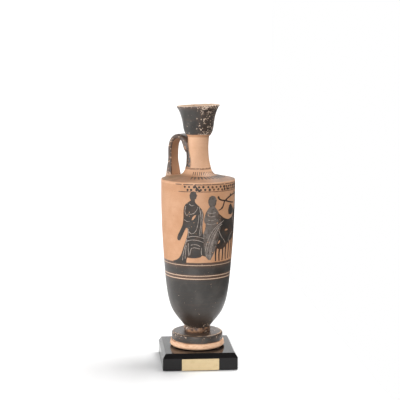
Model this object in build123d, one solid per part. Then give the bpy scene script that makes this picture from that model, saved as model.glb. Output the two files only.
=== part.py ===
from build123d import *
import math
import os

# A lekythos, a tall oil flask with one handle, standing on a small display plinth.
# Millimetres, +Z up. The origin is the centre of the underside, on the table.
# The plinth's plate faces -Y, and the vase's handle stands at its back left.
# The vase is thrown in sections, which are luted together with slip and then fired.

# Plinth
PLINTH_SIDE = 76.5
PLINTH_HEIGHT = 17.0
PLINTH_BEVEL_DROP = 4.6
PLINTH_BEVEL_INSET = 3.0
PLINTH_EDGE_ROUND = 0.5
FELT_THICKNESS = 0.8
FELT_INSET = 2.0
FELT_CORNER_ROUND = 2.5

# Brass plate, glued to the front of the plinth with its lower edge level with the block's
PLATE_WIDTH = 38.0
PLATE_HEIGHT = 11.9
PLATE_THICKNESS = 0.6
PLATE_CORNER_ROUND = 0.4
ADHESIVE_THICKNESS = 0.15
ADHESIVE_INSET = 1.0

# Fixing wax under the edge of the foot
WAX_DABS = 3
WAX_RADIUS = 2.4
WAX_THICKNESS = 0.8
WAX_RING_RADIUS = 25.2
WAX_FIRST_ANGLE = 201.0

# Slip that joins the thrown sections
SLIP = 0.4

# The largest rounding of an edge, as a share of the narrower face beside it
EDGE_ROUND_SHARE = 0.45

# Foot: a lower band, a groove, an upper disc and a short stem
FOOT_BAND_RADIUS = 28.4
FOOT_BAND_HEIGHT = 5.7
FOOT_BAND_TAPER = 0.9
FOOT_BAND_ROUND = 0.9
FOOT_REST_RADIUS = 19.5
FOOT_REST_BEVEL = 1.4
FOOT_HOLLOW_DEPTH = 6.5
FOOT_GROOVE_WIDTH = 0.9
FOOT_GROOVE_DEPTH = 0.7
FOOT_GROOVE_ROUND = 0.2
FOOT_DISC_RADIUS = 26.5
FOOT_DISC_HEIGHT = 8.4
FOOT_DISC_ROUND = 2.0
FOOT_DISC_RISE = 0.6
STEM_RADIUS = 13.0
STEM_HEIGHT = 2.3
FILLET_COIL_SWELL = 0.7

# Body: a tall wall that draws in gently from the shoulder and closes in a rounded bowl
BODY_HEIGHT = 154.4
BODY_WALL = 4.5
BODY_FLOOR = 8.0
SHOULDER_RADIUS = 38.1
WAIST_DRAW = 1.1
WAIST_HEIGHT = 105.0
BELLY_DRAW = 3.3
BELLY_HEIGHT = 71.2
BOWL_DRAW = 6.6
BOWL_HEIGHT = 39.5
HIP_DRAW = 13.1
HIP_HEIGHT = 18.2
TUCK_DRAW = 21.0
TUCK_HEIGHT = 7.6
HIP_WALL = 6.0

# Shoulder: a sloping ring with the collar that carries the neck
SHOULDER_HEIGHT = 12.4
SHOULDER_EDGE = 2.2
SHOULDER_EDGE_ROUND = 1.2
SHOULDER_RISE = 4.4
SHOULDER_UNDER_RISE = 2.4
COLLAR_RADIUS = 15.2
COLLAR_SWEEP = 8.0
THROAT_ROUND = 3.5

# Neck
NECK_HEIGHT = 32.4
NECK_FOOT_RADIUS = 13.4
NECK_FLARE_RADIUS = 11.3
NECK_FLARE_HEIGHT = 9.0
NECK_RADIUS = 10.4
NECK_WAIST_HEIGHT = 22.0
NECK_TOP_RADIUS = 11.0
NECK_BORE_RADIUS = 6.5

# Mouth: a flaring cup with a rounded heel and a flat lip
MOUTH_HEIGHT = 31.8
MOUTH_HEEL_RADIUS = 14.4
MOUTH_HEEL_HEIGHT = 5.0
MOUTH_MID_RADIUS = 16.1
MOUTH_MID_HEIGHT = 13.8
MOUTH_UPPER_RADIUS = 18.1
MOUTH_UPPER_HEIGHT = 22.6
MOUTH_FLARE_RADIUS = 21.4
MOUTH_LIP_STEP = 0.5
MOUTH_LIP_HEIGHT = 1.9
MOUTH_LIP_WIDTH = 3.2
MOUTH_LIP_ROUND = 0.45
MOUTH_WALL = 4.95
MOUTH_FLOOR = 5.0

# Handle: a strap from the top of the neck, over an arch, down to the shoulder
HANDLE_ANGLE = 137.5
HANDLE_WIDTH = 13.6
HANDLE_THICKNESS = 4.5
HANDLE_EDGE_ROUND = 2.2
HANDLE_ROOT_WIDTH = 14.4
HANDLE_ROOT_DEPTH = 19.0
HANDLE_ROOT_ROUND = 6.5
HANDLE_ROOT_DROP = 9.6
HANDLE_ROOT_SLOPE = 0.25
HANDLE_APEX_DROP = 1.3
HANDLE_BEND_REACH = 13.4
HANDLE_BEND_DROP = 13.9
HANDLE_LEAN = 0.3
HANDLE_FOOT_INSET = 5.4
HANDLE_FOOT_WIDTH = 19.5
HANDLE_FOOT_THICKNESS = 9.0
HANDLE_SINK = 4.0
# How much of the root's swell is left along the arch, at shares of its length
HANDLE_ROOT_SWELL = [(0.00, 1.0), (0.20, 0.36), (0.45, 0.0), (0.62, 0.0), (0.80, 0.0)]
# How far the leg has flared towards its foot, at shares of its length
HANDLE_FOOT_FLARE = [(0.00, 0.0), (0.30, 0.0), (0.50, 0.25), (0.70, 0.6), (0.85, 0.85), (1.00, 1.0)]

# Heights of the stack, from the table up
felt_top = FELT_THICKNESS
plinth_top = felt_top + PLINTH_HEIGHT
foot_base = plinth_top + WAX_THICKNESS
disc_base = foot_base + FOOT_BAND_HEIGHT
disc_top = disc_base + FOOT_DISC_HEIGHT
stem_base = disc_top + FOOT_DISC_RISE
foot_top = stem_base + STEM_HEIGHT
body_base = foot_top + SLIP
body_top = body_base + BODY_HEIGHT
shoulder_base = body_top + SLIP
shoulder_top = shoulder_base + SHOULDER_HEIGHT
neck_base = shoulder_top + SLIP
neck_top = neck_base + NECK_HEIGHT
mouth_base = neck_top + SLIP
rim = mouth_base + MOUTH_HEIGHT

# The coil that covers the foot's seam reaches as far up the body as the stem's own height
coil_base = stem_base
coil_top = body_base + STEM_HEIGHT

# The body's outer radii, from its shoulder down, and the hollow's where it meets the shoulder's
waist_radius = SHOULDER_RADIUS - WAIST_DRAW
belly_radius = SHOULDER_RADIUS - BELLY_DRAW
bowl_radius = SHOULDER_RADIUS - BOWL_DRAW
hip_radius = SHOULDER_RADIUS - HIP_DRAW
tuck_radius = SHOULDER_RADIUS - TUCK_DRAW
hollow_radius = SHOULDER_RADIUS - BODY_WALL


def lathe(*outline):
    """Turn a closed outline of radius and height about the vase's axis."""
    return revolve(Plane.XZ * make_face(outline), axis=Axis.Z)


def ring(inner_radius, outer_radius, low, high):
    """A flat ring between two heights."""
    outline = Polyline(
        (inner_radius, low), (outer_radius, low), (outer_radius, high), (inner_radius, high), close=True
    )
    return lathe(*outline.edges())


def plinth_block():
    block = Pos(0, 0, felt_top + PLINTH_HEIGHT / 2) * Box(PLINTH_SIDE, PLINTH_SIDE, PLINTH_HEIGHT)
    top = block.faces().sort_by(Axis.Z)[-1]
    block = chamfer(top.edges(), PLINTH_BEVEL_INSET, PLINTH_BEVEL_DROP, reference=top)
    return fillet(block.edges() - block.faces().sort_by(Axis.Z)[0].edges(), PLINTH_EDGE_ROUND)


def felt_pad():
    side = PLINTH_SIDE - 2 * FELT_INSET
    return extrude(RectangleRounded(side, side, FELT_CORNER_ROUND), FELT_THICKNESS)


def front_sheet(width, height, corner, centre_height, gap, thickness):
    """An upright sheet in front of the plinth, with its back the given gap away from the block."""
    back = Plane((0, -PLINTH_SIDE / 2 - gap, centre_height), x_dir=(1, 0, 0), z_dir=(0, -1, 0))
    return extrude(back * RectangleRounded(width, height, corner), thickness)


def plate_adhesive():
    width = PLATE_WIDTH - 2 * ADHESIVE_INSET
    height = PLATE_HEIGHT - 2 * ADHESIVE_INSET
    centre = felt_top + PLATE_HEIGHT / 2
    return front_sheet(width, height, PLATE_CORNER_ROUND, centre, 0, ADHESIVE_THICKNESS)


def name_plate():
    centre = felt_top + PLATE_HEIGHT / 2
    return front_sheet(
        PLATE_WIDTH, PLATE_HEIGHT, PLATE_CORNER_ROUND, centre, ADHESIVE_THICKNESS, PLATE_THICKNESS
    )


def wax_dabs():
    dab = Pos(0, 0, plinth_top) * extrude(Circle(WAX_RADIUS), WAX_THICKNESS)
    dab = Pos(WAX_RING_RADIUS, 0, 0) * dab
    return [Rot(0, 0, WAX_FIRST_ANGLE + i * 360 / WAX_DABS) * dab for i in range(WAX_DABS)]


def foot():
    edge = FilletPolyline(
        (FOOT_REST_RADIUS, foot_base),
        (FOOT_BAND_RADIUS - FOOT_REST_BEVEL, foot_base),
        (FOOT_BAND_RADIUS, foot_base + FOOT_REST_BEVEL),
        (FOOT_BAND_RADIUS - FOOT_BAND_TAPER, disc_base),
        (FOOT_DISC_RADIUS - FOOT_GROOVE_DEPTH, disc_base),
        (FOOT_DISC_RADIUS - FOOT_GROOVE_DEPTH, disc_base + FOOT_GROOVE_WIDTH / 2),
        (FOOT_DISC_RADIUS, disc_base + FOOT_GROOVE_WIDTH),
        (FOOT_DISC_RADIUS, disc_top),
        (STEM_RADIUS, stem_base),
        radius=[
            FOOT_GROOVE_ROUND,
            FOOT_BAND_ROUND,
            FOOT_GROOVE_ROUND,
            FOOT_GROOVE_ROUND,
            FOOT_GROOVE_ROUND,
            FOOT_GROOVE_ROUND,
            FOOT_DISC_ROUND,
        ],
    )
    hollow_top = foot_base + FOOT_HOLLOW_DEPTH
    stem = Polyline(edge @ 1, (STEM_RADIUS, foot_top), (0, foot_top), (0, hollow_top))
    hollow = EllipticalCenterArc((0, foot_base), FOOT_REST_RADIUS, FOOT_HOLLOW_DEPTH, arc_size=90)
    return lathe(*edge.edges(), *stem.edges(), hollow)


def foot_fillet():
    seat = Line((STEM_RADIUS, coil_top), (STEM_RADIUS, coil_base))
    middle = (STEM_RADIUS + FILLET_COIL_SWELL, (coil_base + coil_top) / 2)
    swell = ThreePointArc((STEM_RADIUS, coil_base), middle, (STEM_RADIUS, coil_top))
    return lathe(seat, swell)


def body():
    outside = Spline(
        (STEM_RADIUS, coil_top),
        (tuck_radius, body_base + TUCK_HEIGHT),
        (hip_radius, body_base + HIP_HEIGHT),
        (bowl_radius, body_base + BOWL_HEIGHT),
        (belly_radius, body_base + BELLY_HEIGHT),
        (waist_radius, body_base + WAIST_HEIGHT),
        (SHOULDER_RADIUS, body_top),
    )
    inside = Spline(
        (hollow_radius, body_top),
        (waist_radius - BODY_WALL, body_base + WAIST_HEIGHT),
        (belly_radius - BODY_WALL, body_base + BELLY_HEIGHT),
        (bowl_radius - BODY_WALL, body_base + BOWL_HEIGHT),
        (hip_radius - HIP_WALL, body_base + HIP_HEIGHT),
        (0, body_base + BODY_FLOOR),
        tangents=[outside % 1 * -1, (-1, 0)],
    )
    lip = Line((SHOULDER_RADIUS, body_top), (hollow_radius, body_top))
    stem = Polyline(
        (0, body_base + BODY_FLOOR),
        (0, body_base),
        (STEM_RADIUS, body_base),
        (STEM_RADIUS, coil_top),
    )
    return lathe(outside, lip, inside, *stem.edges())


def shoulder_top_edge():
    """The shoulder's outer line, from its lower edge up to the collar's seat for the neck."""
    return FilletPolyline(
        (SHOULDER_RADIUS, shoulder_base),
        (SHOULDER_RADIUS, shoulder_base + SHOULDER_EDGE),
        (COLLAR_RADIUS, shoulder_base + SHOULDER_EDGE + SHOULDER_RISE),
        (NECK_FOOT_RADIUS, shoulder_top),
        radius=[SHOULDER_EDGE_ROUND, COLLAR_SWEEP],
    )


def shoulder():
    underside = FilletPolyline(
        (NECK_BORE_RADIUS, shoulder_top),
        (NECK_BORE_RADIUS, shoulder_base + SHOULDER_UNDER_RISE),
        (hollow_radius, shoulder_base),
        radius=[THROAT_ROUND],
    )
    seat = Line((NECK_FOOT_RADIUS, shoulder_top), (NECK_BORE_RADIUS, shoulder_top))
    rest = Line((hollow_radius, shoulder_base), (SHOULDER_RADIUS, shoulder_base))
    return lathe(*shoulder_top_edge().edges(), seat, *underside.edges(), rest)


def shoulder_fill():
    """The room under the shoulder's outer line and beside its edge, which trims the handle's foot."""
    middle = Polyline(
        (NECK_FOOT_RADIUS, shoulder_top),
        (0, shoulder_top),
        (0, shoulder_base - HANDLE_SINK),
        (SHOULDER_RADIUS, shoulder_base - HANDLE_SINK),
        (SHOULDER_RADIUS, shoulder_base),
    )
    edge_top = shoulder_base + SHOULDER_EDGE - SHOULDER_EDGE_ROUND
    beside = ring(SHOULDER_RADIUS, SHOULDER_RADIUS + HANDLE_SINK, shoulder_base - HANDLE_SINK, edge_top)
    return lathe(*shoulder_top_edge().edges(), *middle.edges()) + beside


def neck_side(grow):
    """The neck's outer line, moved out by grow."""
    return Spline(
        (NECK_FOOT_RADIUS + grow, neck_base),
        (NECK_FLARE_RADIUS + grow, neck_base + NECK_FLARE_HEIGHT),
        (NECK_RADIUS + grow, neck_base + NECK_WAIST_HEIGHT),
        (NECK_TOP_RADIUS + grow, neck_top),
    )


def neck_filled_to(radius, grow):
    """The neck between an inner radius and its outer line, moved out by grow."""
    ends = Polyline(
        (NECK_TOP_RADIUS + grow, neck_top),
        (radius, neck_top),
        (radius, neck_base),
        (NECK_FOOT_RADIUS + grow, neck_base),
    )
    return lathe(neck_side(grow), *ends.edges())


def mouth():
    lip_base = rim - MOUTH_LIP_HEIGHT
    outside = Spline(
        (NECK_TOP_RADIUS, mouth_base),
        (MOUTH_HEEL_RADIUS, mouth_base + MOUTH_HEEL_HEIGHT),
        (MOUTH_MID_RADIUS, mouth_base + MOUTH_MID_HEIGHT),
        (MOUTH_UPPER_RADIUS, mouth_base + MOUTH_UPPER_HEIGHT),
        (MOUTH_FLARE_RADIUS, lip_base),
    )
    lip_radius = MOUTH_FLARE_RADIUS + MOUTH_LIP_STEP
    lip_inner = lip_radius - MOUTH_LIP_WIDTH
    lip = FilletPolyline(
        (MOUTH_FLARE_RADIUS, lip_base),
        (lip_radius, lip_base),
        (lip_radius, rim),
        (lip_inner, rim),
        (lip_inner, lip_base),
        radius=[EDGE_ROUND_SHARE * MOUTH_LIP_STEP, MOUTH_LIP_ROUND, MOUTH_LIP_ROUND],
    )
    inside = Spline(
        (lip_inner, lip_base),
        (MOUTH_MID_RADIUS - MOUTH_WALL, mouth_base + MOUTH_MID_HEIGHT),
        (NECK_BORE_RADIUS, mouth_base + MOUTH_FLOOR),
    )
    bore = Polyline(
        (NECK_BORE_RADIUS, mouth_base + MOUTH_FLOOR),
        (NECK_BORE_RADIUS, mouth_base),
        (NECK_TOP_RADIUS, mouth_base),
    )
    return lathe(outside, *lip.edges(), inside, *bore.edges())


def handle_strap():
    """The strap before its two ends are trimmed to the neck and to the shoulder."""
    turn = math.radians(HANDLE_ANGLE)
    outward = (math.cos(turn), math.sin(turn), 0)
    across = (math.sin(turn), -math.cos(turn), 0)
    upright = Plane((0, 0, 0), x_dir=outward, z_dir=across)
    foot_end = Vector(SHOULDER_RADIUS - HANDLE_FOOT_INSET, shoulder_base - HANDLE_SINK / 2)
    apex = Vector(foot_end.X - HANDLE_LEAN - HANDLE_BEND_REACH, neck_top - HANDLE_APEX_DROP)
    knee = apex + Vector(HANDLE_BEND_REACH, -HANDLE_BEND_DROP)
    arch = upright * Spline(
        (NECK_BORE_RADIUS, neck_top - HANDLE_ROOT_DROP),
        apex,
        knee,
        tangents=[(1, HANDLE_ROOT_SLOPE), foot_end - knee],
    )
    leg = upright * Line(knee, foot_end)
    stations = []
    for share, swell in HANDLE_ROOT_SWELL:
        width = HANDLE_WIDTH + swell * (HANDLE_ROOT_WIDTH - HANDLE_WIDTH)
        thickness = HANDLE_THICKNESS + swell * (HANDLE_ROOT_DEPTH - HANDLE_THICKNESS)
        edge_round = HANDLE_EDGE_ROUND + swell * (HANDLE_ROOT_ROUND - HANDLE_EDGE_ROUND)
        stations.append((arch, share, width, thickness, edge_round))
    for share, flare in HANDLE_FOOT_FLARE:
        width = HANDLE_WIDTH + flare * (HANDLE_FOOT_WIDTH - HANDLE_WIDTH)
        thickness = HANDLE_THICKNESS + flare * (HANDLE_FOOT_THICKNESS - HANDLE_THICKNESS)
        stations.append((leg, share, width, thickness, HANDLE_EDGE_ROUND))
    sections = []
    for line, share, width, thickness, edge_round in stations:
        square = Plane(line @ share, x_dir=across, z_dir=line % share)
        limit = EDGE_ROUND_SHARE * min(width, thickness)
        sections.append(square * RectangleRounded(width, thickness, min(edge_round, limit)))
    return loft(sections)


strap = handle_strap()
neck_core = neck_filled_to(0, 0)
neck_core_with_slip = neck_filled_to(0, SLIP)
shoulder_core = shoulder_fill()
shoulder_core_with_slip = Pos(0, 0, SLIP) * shoulder_core + shoulder_core

parts = {
    "felt_pad": felt_pad(),
    "plinth_block": plinth_block(),
    "plate_adhesive": plate_adhesive(),
    "name_plate": name_plate(),
    "wax_dabs": Compound(children=wax_dabs()),
    "foot": foot(),
    "foot_seam_slip": ring(0, STEM_RADIUS, foot_top, body_base),
    "foot_fillet": foot_fillet(),
    "body": body(),
    "shoulder_seam_slip": ring(hollow_radius, SHOULDER_RADIUS, body_top, shoulder_base),
    "shoulder": shoulder(),
    "neck_seam_slip": ring(NECK_BORE_RADIUS, NECK_FOOT_RADIUS, shoulder_top, neck_base),
    "neck": neck_filled_to(NECK_BORE_RADIUS, 0),
    "mouth_seam_slip": ring(NECK_BORE_RADIUS, NECK_TOP_RADIUS, neck_top, mouth_base),
    "mouth": mouth(),
    "handle": strap - neck_core_with_slip - shoulder_core_with_slip,
    "handle_seam_slip": Compound(
        children=[strap & neck_core_with_slip - neck_core, strap & shoulder_core_with_slip - shoulder_core]
    ),
}

os.makedirs("parts", exist_ok=True)
for name, part in parts.items():
    export_step(part, f"parts/{name}.step")
    print(f"{name}: {len(part.solids())} solids, {part.volume / 1000:.2f} cubic centimetres")
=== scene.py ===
"""A lekythos on its display plinth: fine pieces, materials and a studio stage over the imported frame."""

import bisect
import math
import random

import bmesh
import bpy
from mathutils import Matrix, Vector, noise
from mathutils.geometry import delaunay_2d_cdt


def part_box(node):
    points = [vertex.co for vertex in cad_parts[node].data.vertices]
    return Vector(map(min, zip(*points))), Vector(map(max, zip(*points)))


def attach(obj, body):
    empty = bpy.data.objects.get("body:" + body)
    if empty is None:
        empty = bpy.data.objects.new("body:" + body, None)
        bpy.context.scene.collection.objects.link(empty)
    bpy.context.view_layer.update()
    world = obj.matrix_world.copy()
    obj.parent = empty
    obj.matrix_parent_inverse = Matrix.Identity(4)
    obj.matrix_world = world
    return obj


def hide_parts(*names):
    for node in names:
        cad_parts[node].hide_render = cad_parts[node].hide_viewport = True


bl_info = {
    "name": "Lekythos on a plinth",
    "version": (1, 0, 0),
    "blender": (4, 5, 0),
    "location": "3D View > Sidebar > Lekythos",
    "description": "Builds a painted clay oil flask, its display plinth and a studio stage",
    "category": "Object",
}

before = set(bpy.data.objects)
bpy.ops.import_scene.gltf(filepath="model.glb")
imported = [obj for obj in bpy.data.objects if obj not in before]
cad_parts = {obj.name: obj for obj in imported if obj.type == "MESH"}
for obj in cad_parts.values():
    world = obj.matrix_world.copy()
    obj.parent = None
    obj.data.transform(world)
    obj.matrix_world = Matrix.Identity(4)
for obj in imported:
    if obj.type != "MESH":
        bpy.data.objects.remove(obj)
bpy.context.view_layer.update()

MM = 0.001
FULL_TURN = 2 * math.pi
FRONT = math.radians(270)
UP = Vector((0, 0, 1))
# Two places closer than this on a CAD seam are the same
SEAM_WIDTH = 0.003 * MM
NO_LENGTH = 1e-9
# A line that turns by more than this has a corner there
CORNER_TURN = math.radians(24)
OUTLINE_STEP = 0.8 * MM


def clamped(value):
    """The value, kept between 0 and 1."""
    return min(max(value, 0.0), 1.0)


# Outlines of the thrown pieces, read from the frame


def foot_of(name):
    """Height of the lowest point of a CAD node."""
    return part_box(name)[0][2]


def top_of(name):
    """Height of the highest point of a CAD node."""
    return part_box(name)[1][2]


def turned_outline(name):
    """Points (radius, height) along the seam of a turned CAD node at +X, and whether they close."""
    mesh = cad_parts[name].data
    spots = {}
    for vertex in mesh.vertices:
        x, y, z = vertex.co
        if abs(y) < SEAM_WIDTH and x > -SEAM_WIDTH:
            spots[vertex.index] = (round(max(x, 0.0), 6), round(z, 6))
    joined = {spot: set() for spot in spots.values()}
    for edge in mesh.edges:
        a, b = (spots.get(index) for index in edge.vertices)
        if a and b and a != b:
            joined[a].add(b)
            joined[b].add(a)
    close_flat_faces(joined)
    ends = sorted(spot for spot, others in joined.items() if len(others) == 1)
    path = [ends[0] if ends else next(iter(joined))]
    while True:
        onward = [spot for spot in sorted(joined[path[-1]]) if spot not in path]
        if not onward:
            break
        path.append(onward[0])
    if len(path) < 4:
        raise RuntimeError(f"No turned outline was found on {name}")
    return path, not ends


def close_flat_faces(joined):
    """A flat ring or disc has no seam, so its two ends, or one end and the axis, are joined."""
    for spot in sorted(joined):
        radius, height = spot
        if len(joined[spot]) != 1 or radius < SEAM_WIDTH:
            continue
        others = [
            (abs(other[0] - radius), other)
            for other in joined
            if other != spot and len(joined[other]) == 1 and abs(other[1] - height) < SEAM_WIDTH
        ]
        partner = min(others)[1] if others else (0.0, height)
        joined.setdefault(partner, set()).add(spot)
        joined[spot].add(partner)


def slope_at(before, here, after):
    """Direction of a smooth curve at a point, or none at a corner."""
    back, on = here - before, after - here
    if back.length < NO_LENGTH or on.length < NO_LENGTH or back.angle(on) > CORNER_TURN:
        return None
    return (back / back.length * on.length + on / on.length * back.length) / (back.length + on.length)


def refined(points, closed, step):
    """The points with more between them, at most step apart, on a smooth curve except at corners."""
    points = [Vector(point) for point in points]
    count = len(points)
    spans = count if closed else count - 1
    result = []
    for i in range(spans):
        around = []
        for k in (-1, 0, 1, 2):
            around.append(points[(i + k) % count] if closed else points[min(max(i + k, 0), count - 1)])
        start, end = around[1], around[2]
        chord = end - start
        if chord.length < NO_LENGTH:
            continue
        first = slope_at(*around[:3])
        last = slope_at(*around[1:])
        first = chord if first is None else first * chord.length
        last = chord if last is None else last * chord.length
        pieces = max(1, math.ceil(chord.length / step))
        for k in range(pieces):
            t = k / pieces
            result.append(
                start * (2 * t**3 - 3 * t**2 + 1)
                + first * (t**3 - 2 * t**2 + t)
                + end * (3 * t**2 - 2 * t**3)
                + last * (t**3 - t**2)
            )
    if not closed:
        result.append(points[-1])
    return result


class Wall:
    """The outer line of a thrown piece, as its radius at each height."""

    STEP = 0.4 * MM

    def __init__(self, name):
        path, closed = turned_outline(name)
        line = refined(path, closed, OUTLINE_STEP)
        spans = list(zip(line, line[1:] + line[:1]))
        low, high = foot_of(name), top_of(name)
        count = math.ceil((high - low) / self.STEP)
        self.heights = [low + (high - low) * i / count for i in range(count + 1)]
        self.radii = [max(self.crossings(spans, height)) for height in self.heights]

    def crossings(self, spans, height):
        """Radii at which the outline crosses a height."""
        found = [0.0]
        for start, end in spans:
            if min(start.y, end.y) - SEAM_WIDTH <= height <= max(start.y, end.y) + SEAM_WIDTH:
                rise = end.y - start.y
                share = clamped((height - start.y) / rise) if abs(rise) > SEAM_WIDTH else 1.0
                found.append(start.x + (end.x - start.x) * share)
        return found

    def radius(self, height):
        i = min(max(bisect.bisect(self.heights, height), 1), len(self.heights) - 1)
        low, high = self.heights[i - 1], self.heights[i]
        share = clamped((height - low) / (high - low))
        return self.radii[i - 1] * (1 - share) + self.radii[i] * share


# A thrown wall is out of true by soft waves and by the faint ridges of the fingers
WAVE = 0.05 * MM
WAVE_SCALE = 1.3
WAVE_RISE = 18
RIDGE = 0.012 * MM
RIDGE_PITCH = 6.4 * MM


def thrown(angle, height):
    """How far a thrown wall is out of true at a place."""
    place = Vector((math.cos(angle), math.sin(angle), height * WAVE_RISE))
    ridge = math.sin(height / RIDGE_PITCH * FULL_TURN + angle)
    return noise.noise(place * WAVE_SCALE) * WAVE + ridge * RIDGE


def plain_wall(angle, radius, height):
    """A point of a thrown wall with nothing else on it."""
    return radius + thrown(angle, height), height


# Meshes

SHARP_EDGE = math.radians(42)
SHARP_PAINT_EDGE = math.radians(35)


def linked(name, data):
    """A new object in the scene."""
    thing = bpy.data.objects.new(name, data)
    bpy.context.scene.collection.objects.link(thing)
    return thing


def new_object(name, vertices, faces, sharp=SHARP_EDGE):
    """A smooth-shaded mesh object in the scene, with its normals turned outwards."""
    mesh = bpy.data.meshes.new(name)
    mesh.from_pydata([tuple(vertex) for vertex in vertices], [], faces)
    work = bmesh.new()
    work.from_mesh(mesh)
    bmesh.ops.recalc_face_normals(work, faces=work.faces)
    work.to_mesh(mesh)
    work.free()
    mesh.shade_smooth()
    mesh.set_sharp_from_angle(angle=sharp)
    return linked(name, mesh)


def turned_object(name, node, around, step, shape):
    """Lathe the outline of a CAD node; shape moves each point, given its angle, radius and height."""
    path, closed = turned_outline(node)
    vertices, rings, faces = [], [], []
    for radius, height in refined(path, closed, step):
        first = len(vertices)
        if radius < SEAM_WIDTH:
            vertices.append((0, 0, height))
            rings.append([first] * around)
            continue
        for k in range(around):
            angle = FULL_TURN * k / around
            moved_radius, moved_height = shape(angle, radius, height)
            vertices.append((moved_radius * math.cos(angle), moved_radius * math.sin(angle), moved_height))
        rings.append(list(range(first, first + around)))
    pairs = list(zip(rings, rings[1:] + rings[:1])) if closed else list(zip(rings, rings[1:]))
    for low, high in pairs:
        for k in range(around):
            after = (k + 1) % around
            corners = [low[k], low[after], high[after], high[k]]
            faces.append(list(dict.fromkeys(corners)))
    return new_object(name, vertices, [face for face in faces if len(face) > 2])


def finish_piece(thing, material, node=None):
    """Give a piece of the vase its material and tie it to the frame, in place of any CAD node named."""
    thing.data.materials.clear()
    thing.data.materials.append(material)
    if node:
        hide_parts(node)
    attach(thing, "vase")


def dress_node(name, material):
    """Give a CAD node that stays in view its material."""
    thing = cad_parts[name]
    if not thing.material_slots:
        thing.data.materials.append(material)
    for place in thing.material_slots:
        place.material = material


def bites(seed, count, width, depth):
    """Small random chips round an edge, as (angle, half width, depth)."""
    dice = random.Random(seed)
    return [
        (dice.uniform(0, FULL_TURN), dice.uniform(0.4, 1.0) * width, dice.uniform(0.3, 1.0) * depth)
        for _ in range(count)
    ]


def bite_depth(chips, angle):
    """How deep the chips reach at an angle."""
    deepest = 0.0
    for centre, half, depth in chips:
        off = abs((angle - centre + math.pi) % FULL_TURN - math.pi) / half
        if off < 1:
            deepest = max(deepest, depth * (1 - off * off) ** 2)
    return deepest


# Painted shapes: thin closed solids that hug a wall, drawn flat in millimetres

LOOP_STEP = 0.7
DOT_STEP = 0.35
RIBBON_STEP = 0.6
# Rows of points inside a shape stand this share of the grain apart, so that its triangles are even
ROW_SHARE = 0.87
SAME_PLACE = 1e-5


def soft_loop(points, step=LOOP_STEP):
    """A closed smooth outline through points."""
    return [tuple(point) for point in refined(points, True, step)]


def ribbon(points, start_width, end_width):
    """The outline of a brush stroke along points, from one width to another."""
    line = refined(points, False, RIBBON_STEP)
    left, right = [], []
    for i, point in enumerate(line):
        along = line[min(i + 1, len(line) - 1)] - line[max(i - 1, 0)]
        across = Vector((-along.y, along.x)).normalized()
        share = i / (len(line) - 1)
        half = (start_width + (end_width - start_width) * share) / 2
        left.append(tuple(point + across * half))
        right.append(tuple(point - across * half))
    return left + right[::-1]


def mirrored(points, middle):
    """The points turned about an upright line."""
    return [(2 * middle - across, height) for across, height in points]


def raised(points, rise):
    """The points carried up."""
    return [(across, height + rise) for across, height in points]


def inside(point, loops):
    """Whether a point lies within an outline and out of its holes."""
    x, y = point
    within = False
    for loop in loops:
        for (x1, y1), (x2, y2) in zip(loop, loop[1:] + loop[:1]):
            if (y1 > y) != (y2 > y) and x < (x2 - x1) * (y - y1) / (y2 - y1) + x1:
                within = not within
    return within


def filled(loops, grain):
    """Triangles that fill an outline with holes, their points and how many of those lie on its border."""
    spots, edges = [], []
    for loop in loops:
        first = len(spots)
        spots += [Vector(point) for point in loop]
        edges += [(first + i, first + (i + 1) % len(loop)) for i in range(len(loop))]
    border = len(spots)
    xs = [spot.x for spot in spots]
    ys = [spot.y for spot in spots]
    row = 0
    y = min(ys) + grain / 2
    while y < max(ys):
        x = min(xs) + grain * (0.5 if row % 2 else 0.25)
        while x < max(xs):
            if inside((x, y), loops):
                spots.append(Vector((x, y)))
            x += grain
        y += ROW_SHARE * grain
        row += 1
    found, _, triangles, _, _, _ = delaunay_2d_cdt(spots, edges, [], 0, SAME_PLACE)
    kept = []
    for triangle in triangles:
        middle = sum((found[i] for i in triangle), Vector((0, 0))) / 3
        if inside(middle, loops):
            kept.append(tuple(triangle))
    return found, kept, border


def painted_object(name, shapes, place, lift, sink, grain):
    """Painted shapes as one thin solid each; a shape is its loops, how faded it is and how dull."""
    vertices, faces, fades, dulls, edges = [], [], [], [], []
    for loops, fade, dull in shapes:
        found, triangles, border = filled(loops, grain)
        first, count = len(vertices), len(found)
        vertices += [place(x, y, lift) for x, y in found] + [place(x, y, -sink) for x, y in found]
        fades += [fade] * (2 * count)
        dulls += [dull] * (2 * count)
        edges += [float(i < border) for i in range(count)] * 2
        sides = {}
        for a, b, c in triangles:
            faces.append((first + a, first + b, first + c))
            faces.append((first + count + c, first + count + b, first + count + a))
            sides.update(dict.fromkeys(((a, b), (b, c), (c, a))))
        for a, b in sides:
            if (b, a) not in sides:
                faces.append((first + a, first + count + a, first + count + b, first + b))
    thing = new_object(name, vertices, faces, SHARP_PAINT_EDGE)
    for label, values in (("fade", fades), ("dull", dulls), ("edge", edges)):
        attribute = thing.data.attributes.new(label, "FLOAT", "POINT")
        attribute.data.foreach_set("value", values)
    return thing


# Node trees


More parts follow.
